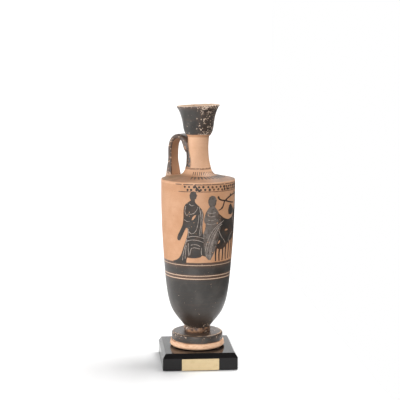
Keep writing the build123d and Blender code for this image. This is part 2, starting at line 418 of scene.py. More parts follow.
class Graph:
    """A short way to write down a node tree."""

    def __init__(self, tree):
        self.tree = tree

    def add(self, kind, inputs=None, **settings):
        made = self.tree.nodes.new("ShaderNode" + kind)
        for key, value in settings.items():
            setattr(made, key, value)
        for key, value in (inputs or {}).items():
            self.feed(made.inputs[key], value)
        return made

    def feed(self, socket, value):
        if isinstance(value, bpy.types.NodeSocket):
            self.tree.links.new(value, socket)
        else:
            socket.default_value = value

    def maths(self, operation, a, b, clamp=False):
        return self.add("Math", {0: a, 1: b}, operation=operation, use_clamp=clamp).outputs[0]

    def plus(self, a, b, clamp=False):
        return self.maths("ADD", a, b, clamp)

    def minus(self, a, b):
        return self.maths("SUBTRACT", a, b)

    def times(self, a, b):
        return self.maths("MULTIPLY", a, b)

    def larger(self, a, b):
        return self.maths("MAXIMUM", a, b)

    def apart(self, a, b):
        return self.maths("ABSOLUTE", self.minus(a, b), 0.0)

    def flip(self, mask):
        return self.minus(1.0, mask)

    def ramp(self, value, low, high, start=0.0, end=1.0):
        values = {"Value": value, "From Min": low, "From Max": high, "To Min": start, "To Max": end}
        return self.add("MapRange", values, interpolation_type="SMOOTHSTEP").outputs["Result"]

    def mix(self, share, a, b):
        made = self.add("Mix", data_type="RGBA")
        for socket, value in ((made.inputs[0], share), (made.inputs[6], a), (made.inputs[7], b)):
            self.feed(socket, value)
        return made.outputs[2]

    def blend(self, share, a, b):
        made = self.add("Mix", data_type="FLOAT")
        for socket, value in ((made.inputs[0], share), (made.inputs[2], a), (made.inputs[3], b)):
            self.feed(socket, value)
        return made.outputs[0]

    def stretch(self, place, factors):
        return self.add("VectorMath", {0: place, 1: factors}, operation="MULTIPLY").outputs["Vector"]

    def dot(self, a, b):
        return self.add("VectorMath", {0: a, 1: b}, operation="DOT_PRODUCT").outputs["Value"]

    def level(self, place):
        return self.stretch(place, (1.0, 1.0, 0.0))

    def outward(self, place):
        return self.add("VectorMath", {0: self.level(place)}, operation="NORMALIZE").outputs["Vector"]

    def noise(self, place, scale, detail=3.0, rough=0.55):
        values = {"Vector": place, "Scale": scale, "Detail": detail, "Roughness": rough}
        return self.add("TexNoise", values).outputs["Fac"]

    def ragged(self, place, scale, amount, detail=4.0):
        return self.times(self.minus(self.noise(place, scale, detail), 0.5), amount)

    def attribute(self, name):
        return self.add("Attribute", attribute_name=name).outputs["Fac"]

    def group(self, name, inputs):
        return self.add("Group", inputs, node_tree=bpy.data.node_groups[name]).outputs


SOCKETS = {1: "NodeSocketFloat", 3: "NodeSocketVector", 4: "NodeSocketColor"}


def shader_group(name, inputs, outputs, build):
    """A node group: its inputs besides the place, its outputs, and the function that wires them."""
    if name in bpy.data.node_groups:
        return
    tree = bpy.data.node_groups.new(name, "ShaderNodeTree")
    for label, value in {"Place": (0.0, 0.0, 0.0), **inputs}.items():
        kind = SOCKETS[len(value) if isinstance(value, tuple) else 1]
        socket = tree.interface.new_socket(name=label, in_out="INPUT", socket_type=kind)
        socket.default_value = value
    for label in outputs:
        kind = SOCKETS[4 if label == "Colour" else 1]
        tree.interface.new_socket(name=label, in_out="OUTPUT", socket_type=kind)
    entry = tree.nodes.new("NodeGroupInput").outputs
    result = tree.nodes.new("NodeGroupOutput").inputs
    for label, socket in build(Graph(tree), entry).items():
        tree.links.new(socket, result[label])


GRIT = (0.2, 0.09, 0.045, 1.0)


def fired_clay(graph, entry):
    """Clay with clouds of a darker shade, level streaks from the wheel and fine grit."""
    place = entry["Place"]
    cloud = graph.noise(place, 48.0, 4.0)
    streak = graph.noise(graph.stretch(place, (30.0, 30.0, 900.0)), 1.0)
    grit = graph.noise(place, 1500.0, 2.0)
    colour = graph.mix(graph.ramp(cloud, 0.35, 0.7), entry["Light"], entry["Dark"])
    colour = graph.mix(graph.ramp(streak, 0.48, 0.75, 0.0, 0.35), colour, entry["Dark"])
    colour = graph.mix(graph.ramp(grit, 0.63, 0.72, 0.0, 0.45), colour, GRIT)
    height = graph.plus(graph.times(streak, 0.6), graph.times(grit, 0.4))
    return {"Colour": colour, "Roughness": graph.ramp(cloud, 0.3, 0.7, 0.52, 0.68), "Height": height}


def black_slip(graph, entry):
    """Black slip, dulled to grey in clouds and brown where it is thin."""
    place = entry["Place"]
    cloud = graph.noise(place, 60.0, 5.0)
    streak = graph.noise(graph.stretch(place, (22.0, 22.0, 800.0)), 1.0)
    fine = graph.noise(place, 900.0)
    colour = graph.mix(graph.ramp(cloud, 0.4, 0.72), entry["Black"], entry["Grey"])
    thin = graph.plus(entry["Thin"], graph.ramp(streak, 0.55, 0.8, 0.0, 0.25), clamp=True)
    colour = graph.mix(thin, colour, entry["Brown"])
    rough = graph.plus(graph.ramp(cloud, 0.3, 0.7, 0.3, 0.46), graph.ramp(fine, 0.4, 0.7, 0.0, 0.1))
    height = graph.plus(graph.times(streak, 0.7), graph.times(fine, 0.3))
    return {"Colour": colour, "Roughness": rough, "Height": height}


def slip_loss(graph, entry):
    """Ragged spots where slip has flaked off, and the thin slip round them."""
    place = entry["Place"]
    bent = graph.add("TexNoise", {"Vector": place, "Scale": 420.0, "Detail": 2.0}).outputs["Color"]
    bent = graph.stretch(bent, (0.8 * MM, 0.8 * MM, 0.8 * MM))
    bent = graph.add("VectorMath", {0: place, 1: bent}, operation="ADD").outputs["Vector"]
    cells = graph.add("TexVoronoi", {"Vector": bent, "Scale": entry["Scale"]})
    dice = graph.add("SeparateColor", {"Color": cells.outputs["Color"]}).outputs[0]
    gather = graph.larger(graph.ramp(graph.noise(place, 75.0), 0.38, 0.68), entry["Even"])
    chance = graph.times(entry["Amount"], graph.plus(gather, 0.25))
    reach = graph.minus(chance, graph.times(dice, 0.6))
    spot = graph.minus(reach, graph.times(cells.outputs["Distance"], 0.9))
    return {"Mask": graph.ramp(spot, -0.03, 0.03), "Halo": graph.ramp(spot, -0.25, 0.0)}


def painted_line(graph, entry):
    """A hand-painted line round the vase at a height, uneven in its course and at its edges."""
    place = entry["Place"]
    height = graph.add("SeparateXYZ", {"Vector": place}).outputs["Z"]
    course = graph.ragged(graph.level(place), 40.0, entry["Uneven"], 3.0)
    off = graph.apart(graph.plus(height, course), entry["Height"])
    ragged = graph.ragged(place, 700.0, entry["Uneven"], 2.0)
    edge = graph.minus(graph.plus(off, ragged), entry["Half width"])
    return {"Mask": graph.ramp(edge, 0.12 * MM, -0.12 * MM)}


def round_side(graph, entry):
    """One side of the vase, with a ragged edge."""
    place = entry["Place"]
    towards = graph.dot(graph.outward(place), entry["Direction"])
    towards = graph.plus(towards, graph.ragged(place, 160.0, entry["Uneven"]))
    low = graph.minus(entry["Limit"], entry["Feather"])
    high = graph.plus(entry["Limit"], entry["Feather"])
    return {"Mask": graph.ramp(towards, low, high)}


def lacquer_wear(graph, entry):
    """Wiped smears and specks of dust on lacquer."""
    place = entry["Place"]
    smear = graph.noise(graph.stretch(place, (60.0, 14.0, 60.0)), 1.0, 4.0)
    speck = graph.ramp(graph.noise(place, 2400.0, 2.0), 0.7, 0.78)
    return {"Roughness": graph.ramp(smear, 0.35, 0.75, 0.07, 0.2), "Dust": graph.times(speck, 0.12)}


def brushed_metal(graph, entry):
    """Level brush marks and clouds of tarnish."""
    place = entry["Place"]
    grain = graph.noise(graph.stretch(place, (35.0, 1.0, 2600.0)), 1.0, 4.0)
    tarnish = graph.ramp(graph.noise(place, 130.0, 4.0), 0.45, 0.75, 0.0, 0.4)
    return {"Roughness": graph.ramp(grain, 0.3, 0.7, 0.26, 0.44), "Tarnish": tarnish, "Height": grain}


def felt_fuzz(graph, entry):
    """Matted fibres."""
    place = entry["Place"]
    fibre = graph.noise(place, 1900.0, 4.0, 0.7)
    return {"Shade": graph.plus(graph.times(fibre, 0.6), graph.noise(place, 260.0)), "Height": fibre}


def opaque(colour):
    """A colour from the settings with full cover."""
    return (*colour, 1.0)


def make_groups():
    """The shared surface effects, made once."""
    paint = bpy.context.scene.lekythos_paint
    surface = ("Colour", "Roughness", "Height")
    clays = {"Light": opaque(paint.clay), "Dark": opaque(paint.clay_dark)}
    slips = {"Black": opaque(paint.slip), "Grey": opaque(paint.slip_grey), "Brown": opaque(paint.slip_brown)}
    loss = {"Amount": 0.3, "Scale": 420.0, "Even": 0.0}
    line = {"Height": 0.1, "Half width": 0.4 * MM, "Uneven": 0.4 * MM}
    side = {"Direction": (1.0, 0.0, 0.0), "Limit": 0.0, "Feather": 0.03, "Uneven": 0.2}
    shader_group("Fired clay", clays, surface, fired_clay)
    shader_group("Black slip", {"Thin": 0.0, **slips}, surface, black_slip)
    shader_group("Slip loss", loss, ("Mask", "Halo"), slip_loss)
    shader_group("Painted line", line, ("Mask",), painted_line)
    shader_group("Round side", side, ("Mask",), round_side)
    shader_group("Lacquer wear", {}, ("Roughness", "Dust"), lacquer_wear)
    shader_group("Brushed metal", {}, ("Roughness", "Tarnish", "Height"), brushed_metal)
    shader_group("Felt fuzz", {}, ("Shade", "Height"), felt_fuzz)


# Materials: each part of the vase has zones that say where slip lies, where it is lost, and what dirt and
# painted light lie over the clay

PALE_CHIP = (0.8, 0.66, 0.53, 1.0)
OLD_DIRT = (0.2, 0.12, 0.075, 1.0)
BARE_LIP = (0.7, 0.57, 0.44, 1.0)
RING_BROWN = (0.19, 0.088, 0.045, 1.0)
SHOULDER_GREY = (0.16, 0.108, 0.082, 1.0)
SHOULDER_TAN = (0.41, 0.24, 0.13, 1.0)
SHOULDER_BROWN = (0.3, 0.16, 0.09, 1.0)
PALE_LINE = (0.84, 0.66, 0.5, 1.0)
RUBBED_RIM = (0.66, 0.5, 0.35, 1.0)
# Painted light: the bare band of the foot is painted in these lighter tones of clay
LIT_BAND_BRIGHT = (0.95, 0.61, 0.4, 1.0)
LIT_BAND_DULL = (0.74, 0.41, 0.24, 1.0)
# Painted light: the neck's clay is painted lighter than the body's, to make up for the shade under the mouth
NECK_CLAY_PAINTED_LIGHTER = {"Light": (0.72, 0.43, 0.265, 1.0), "Dark": (0.64, 0.355, 0.205, 1.0)}
SHOULDER_CLAY = {"Light": (0.7, 0.41, 0.25, 1.0), "Dark": (0.61, 0.33, 0.19, 1.0)}
SLIP_DULLED = (0.2, 0.17, 0.15, 1.0)
SLIP_MOTTLE = (0.05, 0.033, 0.024, 1.0)
SCRATCH_PALE = (0.46, 0.38, 0.33, 1.0)
SCRATCH_DARK = (0.2, 0.16, 0.14, 1.0)
LACQUER_DUST = (0.2, 0.19, 0.17, 1.0)
FELT_DARK = (0.012, 0.012, 0.013, 1.0)
FELT_LIGHT = (0.035, 0.034, 0.035, 1.0)
GLUE = ((0.55, 0.5, 0.4, 1.0), (0.42, 0.37, 0.28, 1.0))
WAX = ((0.13, 0.075, 0.042, 1.0), (0.08, 0.045, 0.026, 1.0))
FLOOR = ((0.94, 0.94, 0.94, 1.0), (0.92, 0.92, 0.92, 1.0))

# Sides of the vase where wear gathers and where the shoulder turns browner, counted round from +X
CHIPPED_SIDE = math.radians(320)
KNOCKED_SIDE = math.radians(226)
BROWNED_SIDE = math.radians(258)
FADED_SIDE = math.radians(345)

PLAIN_ZONE = {
    "loss": 0.3,
    "loss scale": 420.0,
    "loss even": 0.0,
    "thin": 0.0,
    "pale": 0.0,
    "grime": 0.0,
    "grime colour": OLD_DIRT,
    "clay": {},
}


def direction_at(angle):
    """Level unit direction at an angle round the axis."""
    return (math.cos(angle), math.sin(angle), 0.0)


def new_material(name):
    """An empty material: its graph, the object's own coordinates and its shader."""
    make_groups()
    material = bpy.data.materials.new(name)
    material.use_nodes = True
    graph = Graph(material.node_tree)
    shader = next(made for made in material.node_tree.nodes if made.type == "BSDF_PRINCIPLED")
    place = graph.add("TexCoord").outputs["Object"]
    return material, graph, place, shader


def add_bump(graph, shader, height, strength, distance):
    """Let a height stand out from the surface."""
    bump = graph.add("Bump", {"Strength": strength, "Distance": distance, "Height": height})
    graph.feed(shader.inputs["Normal"], bump.outputs["Normal"])


def clay_material(name, zones):
    """Fired clay, painted with black slip where its zones say so, and worn."""
    if name in bpy.data.materials:
        return bpy.data.materials[name]
    material, graph, place, shader = new_material(name)
    height = graph.add("SeparateXYZ", {"Vector": place}).outputs["Z"]
    zone = {**PLAIN_ZONE, **zones(graph, place, height)}
    loss = graph.group(
        "Slip loss",
        {"Place": place, "Amount": zone["loss"], "Scale": zone["loss scale"], "Even": zone["loss even"]},
    )
    lost = loss["Mask"]
    cover = graph.times(zone["black"], graph.flip(lost))
    clay = graph.group("Fired clay", {"Place": place, **zone["clay"]})
    thin = graph.plus(graph.times(loss["Halo"], 0.6), zone["thin"], clamp=True)
    slip = graph.group("Black slip", {"Place": place, "Thin": thin})
    ground = graph.mix(zone["grime"], clay["Colour"], zone["grime colour"])
    chip = graph.times(graph.times(lost, zone["black"]), zone["pale"])
    ground = graph.mix(chip, ground, PALE_CHIP)
    graph.feed(shader.inputs["Base Color"], graph.mix(cover, ground, slip["Colour"]))
    graph.feed(shader.inputs["Roughness"], graph.blend(cover, clay["Roughness"], slip["Roughness"]))
    relief = graph.plus(graph.times(cover, 0.5), graph.blend(cover, clay["Height"], slip["Height"]))
    add_bump(graph, shader, relief, 0.35, 0.12 * MM)
    graph.feed(shader.inputs["Coat Weight"], graph.times(cover, 0.24))
    shader.inputs["Coat Roughness"].default_value = 0.34
    shader.inputs["Specular IOR Level"].default_value = 0.45
    return material


def above(graph, place, height, level, uneven, feather=0.15 * MM):
    """Mask of what lies above a level, with an uneven edge."""
    lifted = graph.plus(height, graph.ragged(place, 110.0, uneven))
    return graph.ramp(lifted, level - feather, level + feather)


def side_mask(graph, place, angle, limit, feather=0.03, uneven=0.2):
    """Mask of the side of the vase at an angle; the nearer the limit is to 1, the narrower it is."""
    values = {"Direction": direction_at(angle), "Limit": limit, "Feather": feather, "Uneven": uneven}
    return graph.group("Round side", {"Place": place, **values})["Mask"]


def line_mask(graph, place, height, half, uneven):
    """Mask of a line painted round the vase."""
    values = {"Height": height, "Half width": half, "Uneven": uneven}
    return graph.group("Painted line", {"Place": place, **values})["Mask"]


def mouth_zones(graph, place, height):
    """Black outside, bare on the lip and within, and chipped on one side."""
    paint = bpy.context.scene.lekythos_paint
    black = above(graph, place, height, paint.mouth_edge, 1.6 * MM)
    lean = graph.dot(place, direction_at(paint.mouth_high_side))
    level = graph.minus(height, graph.times(lean, paint.mouth_tilt))
    lip = above(graph, place, level, paint.lip_edge, 0.5 * MM, 0.2 * MM)
    kept = graph.ramp(graph.noise(place, 230.0, 4.0), 0.58, 0.68, 0.0, 0.7)
    facing = graph.dot(graph.outward(place), graph.add("TexCoord").outputs["Normal"])
    worn = graph.larger(lip, graph.ramp(facing, -0.1, -0.3, 0.0, 0.95))
    black = graph.times(black, graph.larger(kept, graph.flip(worn)))
    chipped = side_mask(graph, place, CHIPPED_SIDE, 0.5, 0.2, 0.5)
    knocked = side_mask(graph, place, KNOCKED_SIDE, 0.95, 0.05)
    off = graph.apart(height, paint.mouth_edge + 9 * MM)
    knocked = graph.times(knocked, graph.ramp(off, 4 * MM, 1 * MM, 0.0, 0.62))
    foot = graph.ramp(height, paint.mouth_edge + 5 * MM, paint.mouth_edge, 0.0, 0.22)
    rim = graph.ramp(level, paint.lip_edge - 5 * MM, paint.lip_edge - 1 * MM, 0.0, 0.25)
    loss = graph.plus(graph.ramp(chipped, 0.0, 1.0, 0.14, 0.46), graph.plus(foot, rim))
    return {
        "black": black,
        "loss": graph.plus(loss, knocked),
        "loss scale": 700.0,
        "loss even": graph.larger(graph.times(chipped, 0.75), knocked),
        "thin": graph.plus(graph.times(chipped, 0.14), graph.times(rim, 1.4)),
        "pale": 0.85,
        "grime": graph.times(worn, 0.8),
        "grime colour": BARE_LIP,
    }


def neck_zones(graph, place, height):
    """Bare, with black behind at the handle that widens upwards and a brown ring at its foot; its clay is
    painted lighter as painted light.
    """
    paint = bpy.context.scene.lekythos_paint
    foot = foot_of("neck")
    limit = graph.ramp(height, foot + 4.4 * MM, foot + 28.4 * MM, 0.08, 0.7)
    black = side_mask(graph, place, paint.handle_angle, limit, 0.03, 0.12)
    black = graph.times(black, above(graph, place, height, paint.neck_black_foot, 1.2 * MM))
    edge = side_mask(graph, place, paint.handle_angle, graph.minus(limit, 0.1), 0.03, 0.12)
    ring = line_mask(graph, place, paint.neck_ring, 0.4 * MM, 1.3 * MM)
    return {
        "black": black,
        "loss": 0.45,
        "thin": 0.2,
        "grime": graph.larger(graph.times(edge, 0.5), graph.times(ring, 0.85)),
        "grime colour": RING_BROWN,
        "clay": NECK_CLAY_PAINTED_LIGHTER,
    }


def shoulder_zones(graph, place, height):
    """Bare and darkened in clouds on its slope, with the line above the dots on the painted side."""
    paint = bpy.context.scene.lekythos_paint
    foot = paint.shoulder_foot
    front = side_mask(graph, place, paint.front_angle, 0.02, uneven=0.1)
    line = line_mask(graph, place, paint.band_top, 0.6 * MM, 0.9 * MM)
    slope = graph.ramp(height, foot - 0.6 * MM, foot + 0.2 * MM)
    slope = graph.times(slope, graph.ramp(height, foot + 7 * MM, foot + 3 * MM))
    cloud = graph.ramp(graph.noise(place, 90.0, 4.0), 0.3, 0.7, 0.7, 1.0)
    back = side_mask(graph, place, paint.handle_angle, -0.2, 0.6)
    middle = side_mask(graph, place, BROWNED_SIDE, 0.75, 0.25)
    return {
        "black": graph.times(front, line),
        "loss": 0.5,
        "thin": 0.55,
        "grime": graph.times(slope, cloud),
        "grime colour": graph.mix(middle, graph.mix(back, SHOULDER_GREY, SHOULDER_TAN), SHOULDER_BROWN),
        "clay": SHOULDER_CLAY,
    }


def body_zones(graph, place, height):
    """Black up to the ground of the frieze, with reserved lines, and brown where the slip is thin."""
    paint = bpy.context.scene.lekythos_paint
    foot = foot_of("body")
    black = graph.flip(above(graph, place, height, paint.ground, 1.0 * MM))
    reserved = 0.0
    for level, half in (
        (paint.ground_groove, 0.26 * MM),
        (paint.ring_upper, 0.33 * MM),
        (paint.ring_lower, 0.38 * MM),
    ):
        line = line_mask(graph, place, level, half, 0.3 * MM)
        black = graph.times(black, graph.flip(line))
        reserved = graph.larger(reserved, line)
    front = side_mask(graph, place, paint.front_angle, 0.1, uneven=0.15)
    band = line_mask(graph, place, paint.band_foot, 0.36 * MM, 0.6 * MM)
    black = graph.larger(black, graph.times(band, front))
    off = graph.apart(height, (paint.ring_upper + paint.ring_lower) / 2)
    near_rings = graph.ramp(off, 4.2 * MM, 1.2 * MM, 0.0, 0.6)
    near_ground = graph.ramp(height, paint.ground - 9 * MM, paint.ground, 0.0, 0.6)
    bowl = graph.ramp(height, foot + 36 * MM, foot + 14 * MM, 0.0, 0.1)
    faded = side_mask(graph, place, FADED_SIDE, 0.2, 0.1)
    stripe = graph.ramp(height, paint.band_foot - 3 * MM, paint.band_foot - 1 * MM, 0.0, 0.9)
    thin = graph.plus(graph.plus(near_rings, near_ground), graph.plus(bowl, graph.times(stripe, faded)))
    stem = graph.ramp(height, foot + 9 * MM, foot + 3 * MM, 0.0, 0.3)
    under = graph.ramp(height, paint.ring_upper, paint.ground, 0.0, 0.16)
    return {
        "black": black,
        "loss": graph.plus(graph.plus(0.17, under), stem),
        "loss scale": 720.0,
        "loss even": 0.2,
        "thin": thin,
        "pale": 0.9,
        "grime": graph.times(reserved, 0.65),
        "grime colour": PALE_LINE,
    }


def foot_zones(graph, place, height):
    """Black on the disc, worn round its rim and at the stem, and bare on the band below, which is painted
    lighter as painted light.
    """
    paint = bpy.context.scene.lekythos_paint
    rest = foot_of("foot")
    black = above(graph, place, height, paint.foot_edge, 0.8 * MM)
    radius = graph.add("VectorMath", {0: graph.level(place)}, operation="LENGTH").outputs["Value"]
    off = graph.apart(graph.plus(radius, graph.ragged(place, 200.0, 1.9 * MM)), paint.foot_rim)
    worn = graph.times(
        graph.ramp(off, 0.55 * MM, 0.25 * MM), graph.ramp(height, rest + 11.9 * MM, rest + 13.2 * MM)
    )
    worn = graph.times(worn, graph.ramp(graph.noise(place, 170.0, 4.0), 0.42, 0.55, 0.25, 1.0))
    # Painted light: the bare band below the disc is painted lighter than the clay, in streaky tones
    band = graph.ramp(height, paint.foot_edge + 1 * MM, paint.foot_edge, 0.0, 0.85)
    cloud = graph.noise(graph.stretch(place, (1.0, 1.0, 3.0)), 190.0, 4.0)
    lit_band_colour = graph.mix(graph.ramp(cloud, 0.42, 0.68), LIT_BAND_BRIGHT, LIT_BAND_DULL)
    thin = graph.ramp(height, rest + 12.4 * MM, rest + 14.4 * MM, 0.05, 0.3)
    return {
        "black": graph.times(black, graph.flip(worn)),
        "loss": graph.ramp(height, rest + 14.2 * MM, rest + 15.9 * MM, 0.33, 0.8),
        "loss scale": 600.0,
        "loss even": 0.2,
        "thin": graph.plus(thin, graph.ramp(cloud, 0.48, 0.7, 0.0, 0.45)),
        "pale": 0.75,
        "grime": graph.larger(graph.times(worn, 0.8), band),
        "grime colour": graph.mix(graph.ramp(band, 0.0, 0.3), RUBBED_RIM, lit_band_colour),
    }


def coil_zones(graph, place, height):
    """Slip left in patches on the coil round the stem."""
    kept = graph.ramp(graph.noise(place, 150.0, 4.0), 0.42, 0.58)
    return {"black": kept, "loss": 0.5, "loss scale": 600.0, "thin": 0.5, "pale": 0.7, "grime": 0.5}


def handle_zones(graph, place, height):
    """Black on the outside and along the rims of the strap, and lost at its foot."""
    paint = bpy.context.scene.lekythos_paint
    side = graph.plus(graph.attribute("outer_side"), graph.ragged(place, 240.0, 1.1))
    foot = graph.ramp(height, paint.shoulder_foot + 6 * MM, paint.shoulder_foot + 2 * MM, 0.0, 0.5)
    return {
        "black": graph.ramp(side, -0.1, 0.1),
        "loss": graph.plus(0.5, foot),
        "loss scale": 520.0,
        "loss even": 0.45,
        "thin": 0.42,
        "grime": 0.5,
        "pale": 0.4,
    }


def seam_zones(graph, place, height):
    """Slip in a seam, stained here and there."""
    return {"black": graph.ramp(graph.noise(place, 180.0, 4.0), 0.5, 0.7, 0.0, 0.4), "grime": 0.3}


def neck_seam_zones(graph, place, height):
    """The dark seam at the foot of the neck."""
    return {"black": graph.ramp(graph.noise(place, 180.0, 4.0), 0.3, 0.5, 0.3, 0.8), "thin": 0.8}


def figure_material():
    """Slip of the painted shapes, thinner where they are faded, and worn down to the clay in places."""
    name = "Painted figures"
    if name in bpy.data.materials:
        return bpy.data.materials[name]
    material, graph, place, shader = new_material(name)
    fade = graph.attribute("fade")
    cloud = graph.noise(place, 130.0, 4.0)
    thin = graph.plus(fade, graph.ramp(cloud, 0.45, 0.75, 0.0, 0.5))
    thin = graph.plus(thin, graph.times(graph.attribute("edge"), 0.3), clamp=True)
    amount = graph.plus(0.2, graph.times(fade, 0.6))
    lost = graph.group("Slip loss", {"Place": place, "Amount": amount})["Mask"]
    clay = graph.group("Fired clay", {"Place": place})
    slip = graph.group("Black slip", {"Place": place, "Thin": thin})
    dull = graph.times(graph.attribute("dull"), graph.ramp(cloud, 0.3, 0.7, 1.0, 0.6))
    colour = graph.mix(dull, slip["Colour"], SLIP_DULLED)
    mottle = graph.ramp(graph.noise(place, 330.0, 4.0), 0.48, 0.7, 0.0, 0.75)
    colour = graph.mix(mottle, colour, SLIP_MOTTLE)
    faint = graph.ramp(graph.minus(fade, cloud), 0.0, 0.5, 0.0, 0.85)
    bare = graph.larger(lost, faint)
    graph.feed(shader.inputs["Base Color"], graph.mix(bare, colour, clay["Colour"]))
    graph.feed(shader.inputs["Roughness"], graph.blend(bare, slip["Roughness"], clay["Roughness"]))
    add_bump(graph, shader, slip["Height"], 0.3, 0.08 * MM)
    shader.inputs["Specular IOR Level"].default_value = 0.4
    return material


def scratch_material():
    """Pale clay dust in the scratched lines."""
    material, graph, place, shader = new_material("Scratched lines")
    fill = graph.noise(place, 520.0)
    colour = graph.mix(graph.ramp(fill, 0.4, 0.72), SCRATCH_PALE, SCRATCH_DARK)
    graph.feed(shader.inputs["Base Color"], colour)
    graph.feed(shader.inputs["Roughness"], graph.ramp(fill, 0.3, 0.7, 0.6, 0.85))
    return material


def lacquer_material():
    """Black gloss lacquer, wiped and dusty."""
    colour = opaque(bpy.context.scene.lekythos_paint.lacquer)
    material, graph, place, shader = new_material("Black lacquer")
    wear = graph.group("Lacquer wear", {"Place": place})
    graph.feed(shader.inputs["Base Color"], graph.mix(wear["Dust"], colour, LACQUER_DUST))
    graph.feed(shader.inputs["Roughness"], wear["Roughness"])
    shader.inputs["Specular IOR Level"].default_value = 0.3
    return material


def brass_material():
    """Brushed brass with a little tarnish."""
    paint = bpy.context.scene.lekythos_paint
    material, graph, place, shader = new_material("Brushed brass")
    grain = graph.group("Brushed metal", {"Place": place})
    colour = graph.mix(grain["Tarnish"], opaque(paint.brass), opaque(paint.brass_tarnish))
    graph.feed(shader.inputs["Base Color"], colour)
    graph.feed(shader.inputs["Roughness"], grain["Roughness"])
    add_bump(graph, shader, grain["Height"], 0.12, 0.03 * MM)
    shader.inputs["Metallic"].default_value = 1.0
    return material


def felt_material():
    """Black felt."""
    material, graph, place, shader = new_material("Black felt")
    fuzz = graph.group("Felt fuzz", {"Place": place})
    shade = graph.ramp(fuzz["Shade"], 0.5, 1.1)
    graph.feed(shader.inputs["Base Color"], graph.mix(shade, FELT_DARK, FELT_LIGHT))
    add_bump(graph, shader, fuzz["Height"], 0.6, 0.3 * MM)
    shader.inputs["Roughness"].default_value = 0.95
    return material


def soft_material(name, colours, roughness):
    """A plain soft stuff, such as wax or glue, with clouds of a second shade."""
    material, graph, place, shader = new_material(name)
    cloud = graph.noise(place, 700.0)
    graph.feed(shader.inputs["Base Color"], graph.mix(graph.ramp(cloud, 0.35, 0.65), *colours))
    graph.feed(shader.inputs["Roughness"], graph.ramp(cloud, 0.3, 0.7, roughness, roughness + 0.15))
    return material


# Settings


def a_length(name, description, default, precision=4):
    """A length in metres."""
    return bpy.props.FloatProperty(
        name=name, description=description, default=default, unit="LENGTH", precision=precision
    )


def an_angle(name, description, degrees):
    """An angle, written in degrees."""
    return bpy.props.FloatProperty(
        name=name, description=description, default=math.radians(degrees), subtype="ANGLE"
    )


def a_colour(name, description, default):
    """A colour."""
    return bpy.props.FloatVectorProperty(
        name=name, description=description, default=default, size=3, subtype="COLOR"
    )


def a_power(name, description, default):
    """The power of a lamp in watts."""
    return bpy.props.FloatProperty(name=name, description=description, default=default, subtype="POWER")


class LekythosPaint(bpy.types.PropertyGroup):
    """Where the paint lies and what colours the pieces have."""

    handle_angle: an_angle("Handle side", "Direction of the handle, counted round from +X", 137.5)
    front_angle: an_angle("Painted side", "Direction of the middle of the painted half", 317.5)
    mouth_tilt: an_angle("Tilt of the mouth", "How far the mouth leans out of level", 2.8)
    mouth_high_side: an_angle("High side of the mouth", "Direction in which the lip stands highest", -5.5)
    mouth_edge: a_length(
        "Foot of the black mouth", "Height where the black of the mouth begins", foot_of("mouth") + 2 * MM
    )
    lip_edge: a_length("Worn lip", "Height above which the lip is bare", top_of("mouth") - 0.3 * MM)
    neck_black_foot: a_length(
        "Black on the neck", "Height where the black behind the neck begins", foot_of("neck") + 1.6 * MM
    )
    neck_ring: a_length("Neck ring", "Height of the brown ring at its foot", foot_of("neck") + 0.7 * MM)
    shoulder_foot: a_length("Shoulder", "Height of the shoulder's edge", foot_of("shoulder") + 2.2 * MM)
    band_top: a_length("Line above the dots", "Height of the line", foot_of("shoulder") - 0.2 * MM)
    band_foot: a_length("Line below the dots", "Height of the line", top_of("body") - 6.8 * MM)
    ground: a_length("Ground", "Height of the top of the black zone", foot_of("body") + 75.2 * MM)
    frieze_base: a_length("Foot of the frieze", "Height the figures start from", foot_of("body") + 72.8 * MM)
    ground_groove: a_length("Ground line", "Height of the line under it", foot_of("body") + 72.3 * MM)
    ring_upper: a_length("Upper ring", "Height of the upper reserved ring", foot_of("body") + 61.3 * MM)
    ring_lower: a_length("Lower ring", "Height of the lower reserved ring", foot_of("body") + 58.1 * MM)
    foot_edge: a_length("Foot of the black disc", "Height where the black begins", foot_of("foot") + 6 * MM)
    foot_rim: a_length("Worn rim of the foot", "Radius of the worn edge of the foot's disc", 24.9 * MM)
    lift: a_length("Paint thickness", "How far painted shapes stand out from the wall", 0.05 * MM, 5)
    sink: a_length("Paint root", "How far painted shapes reach into the wall", 0.2 * MM, 5)
    clay: a_colour("Clay", "Bright clay", (0.6, 0.33, 0.19))
    clay_dark: a_colour("Dark clay", "Dull clay", (0.52, 0.264, 0.136))
    slip: a_colour("Black slip", "Thick slip", (0.026, 0.0225, 0.0195))
    slip_grey: a_colour("Grey slip", "Dulled slip", (0.055, 0.049, 0.043))
    slip_brown: a_colour("Brown slip", "Thin slip", (0.13, 0.062, 0.034))
    lacquer: a_colour("Lacquer", "Lacquer of the plinth", (0.007, 0.0062, 0.0065))
    brass: a_colour("Brass", "Bright brass of the plate", (0.66, 0.52, 0.31))
    brass_tarnish: a_colour("Tarnish", "Dull brass of the plate", (0.55, 0.41, 0.22))


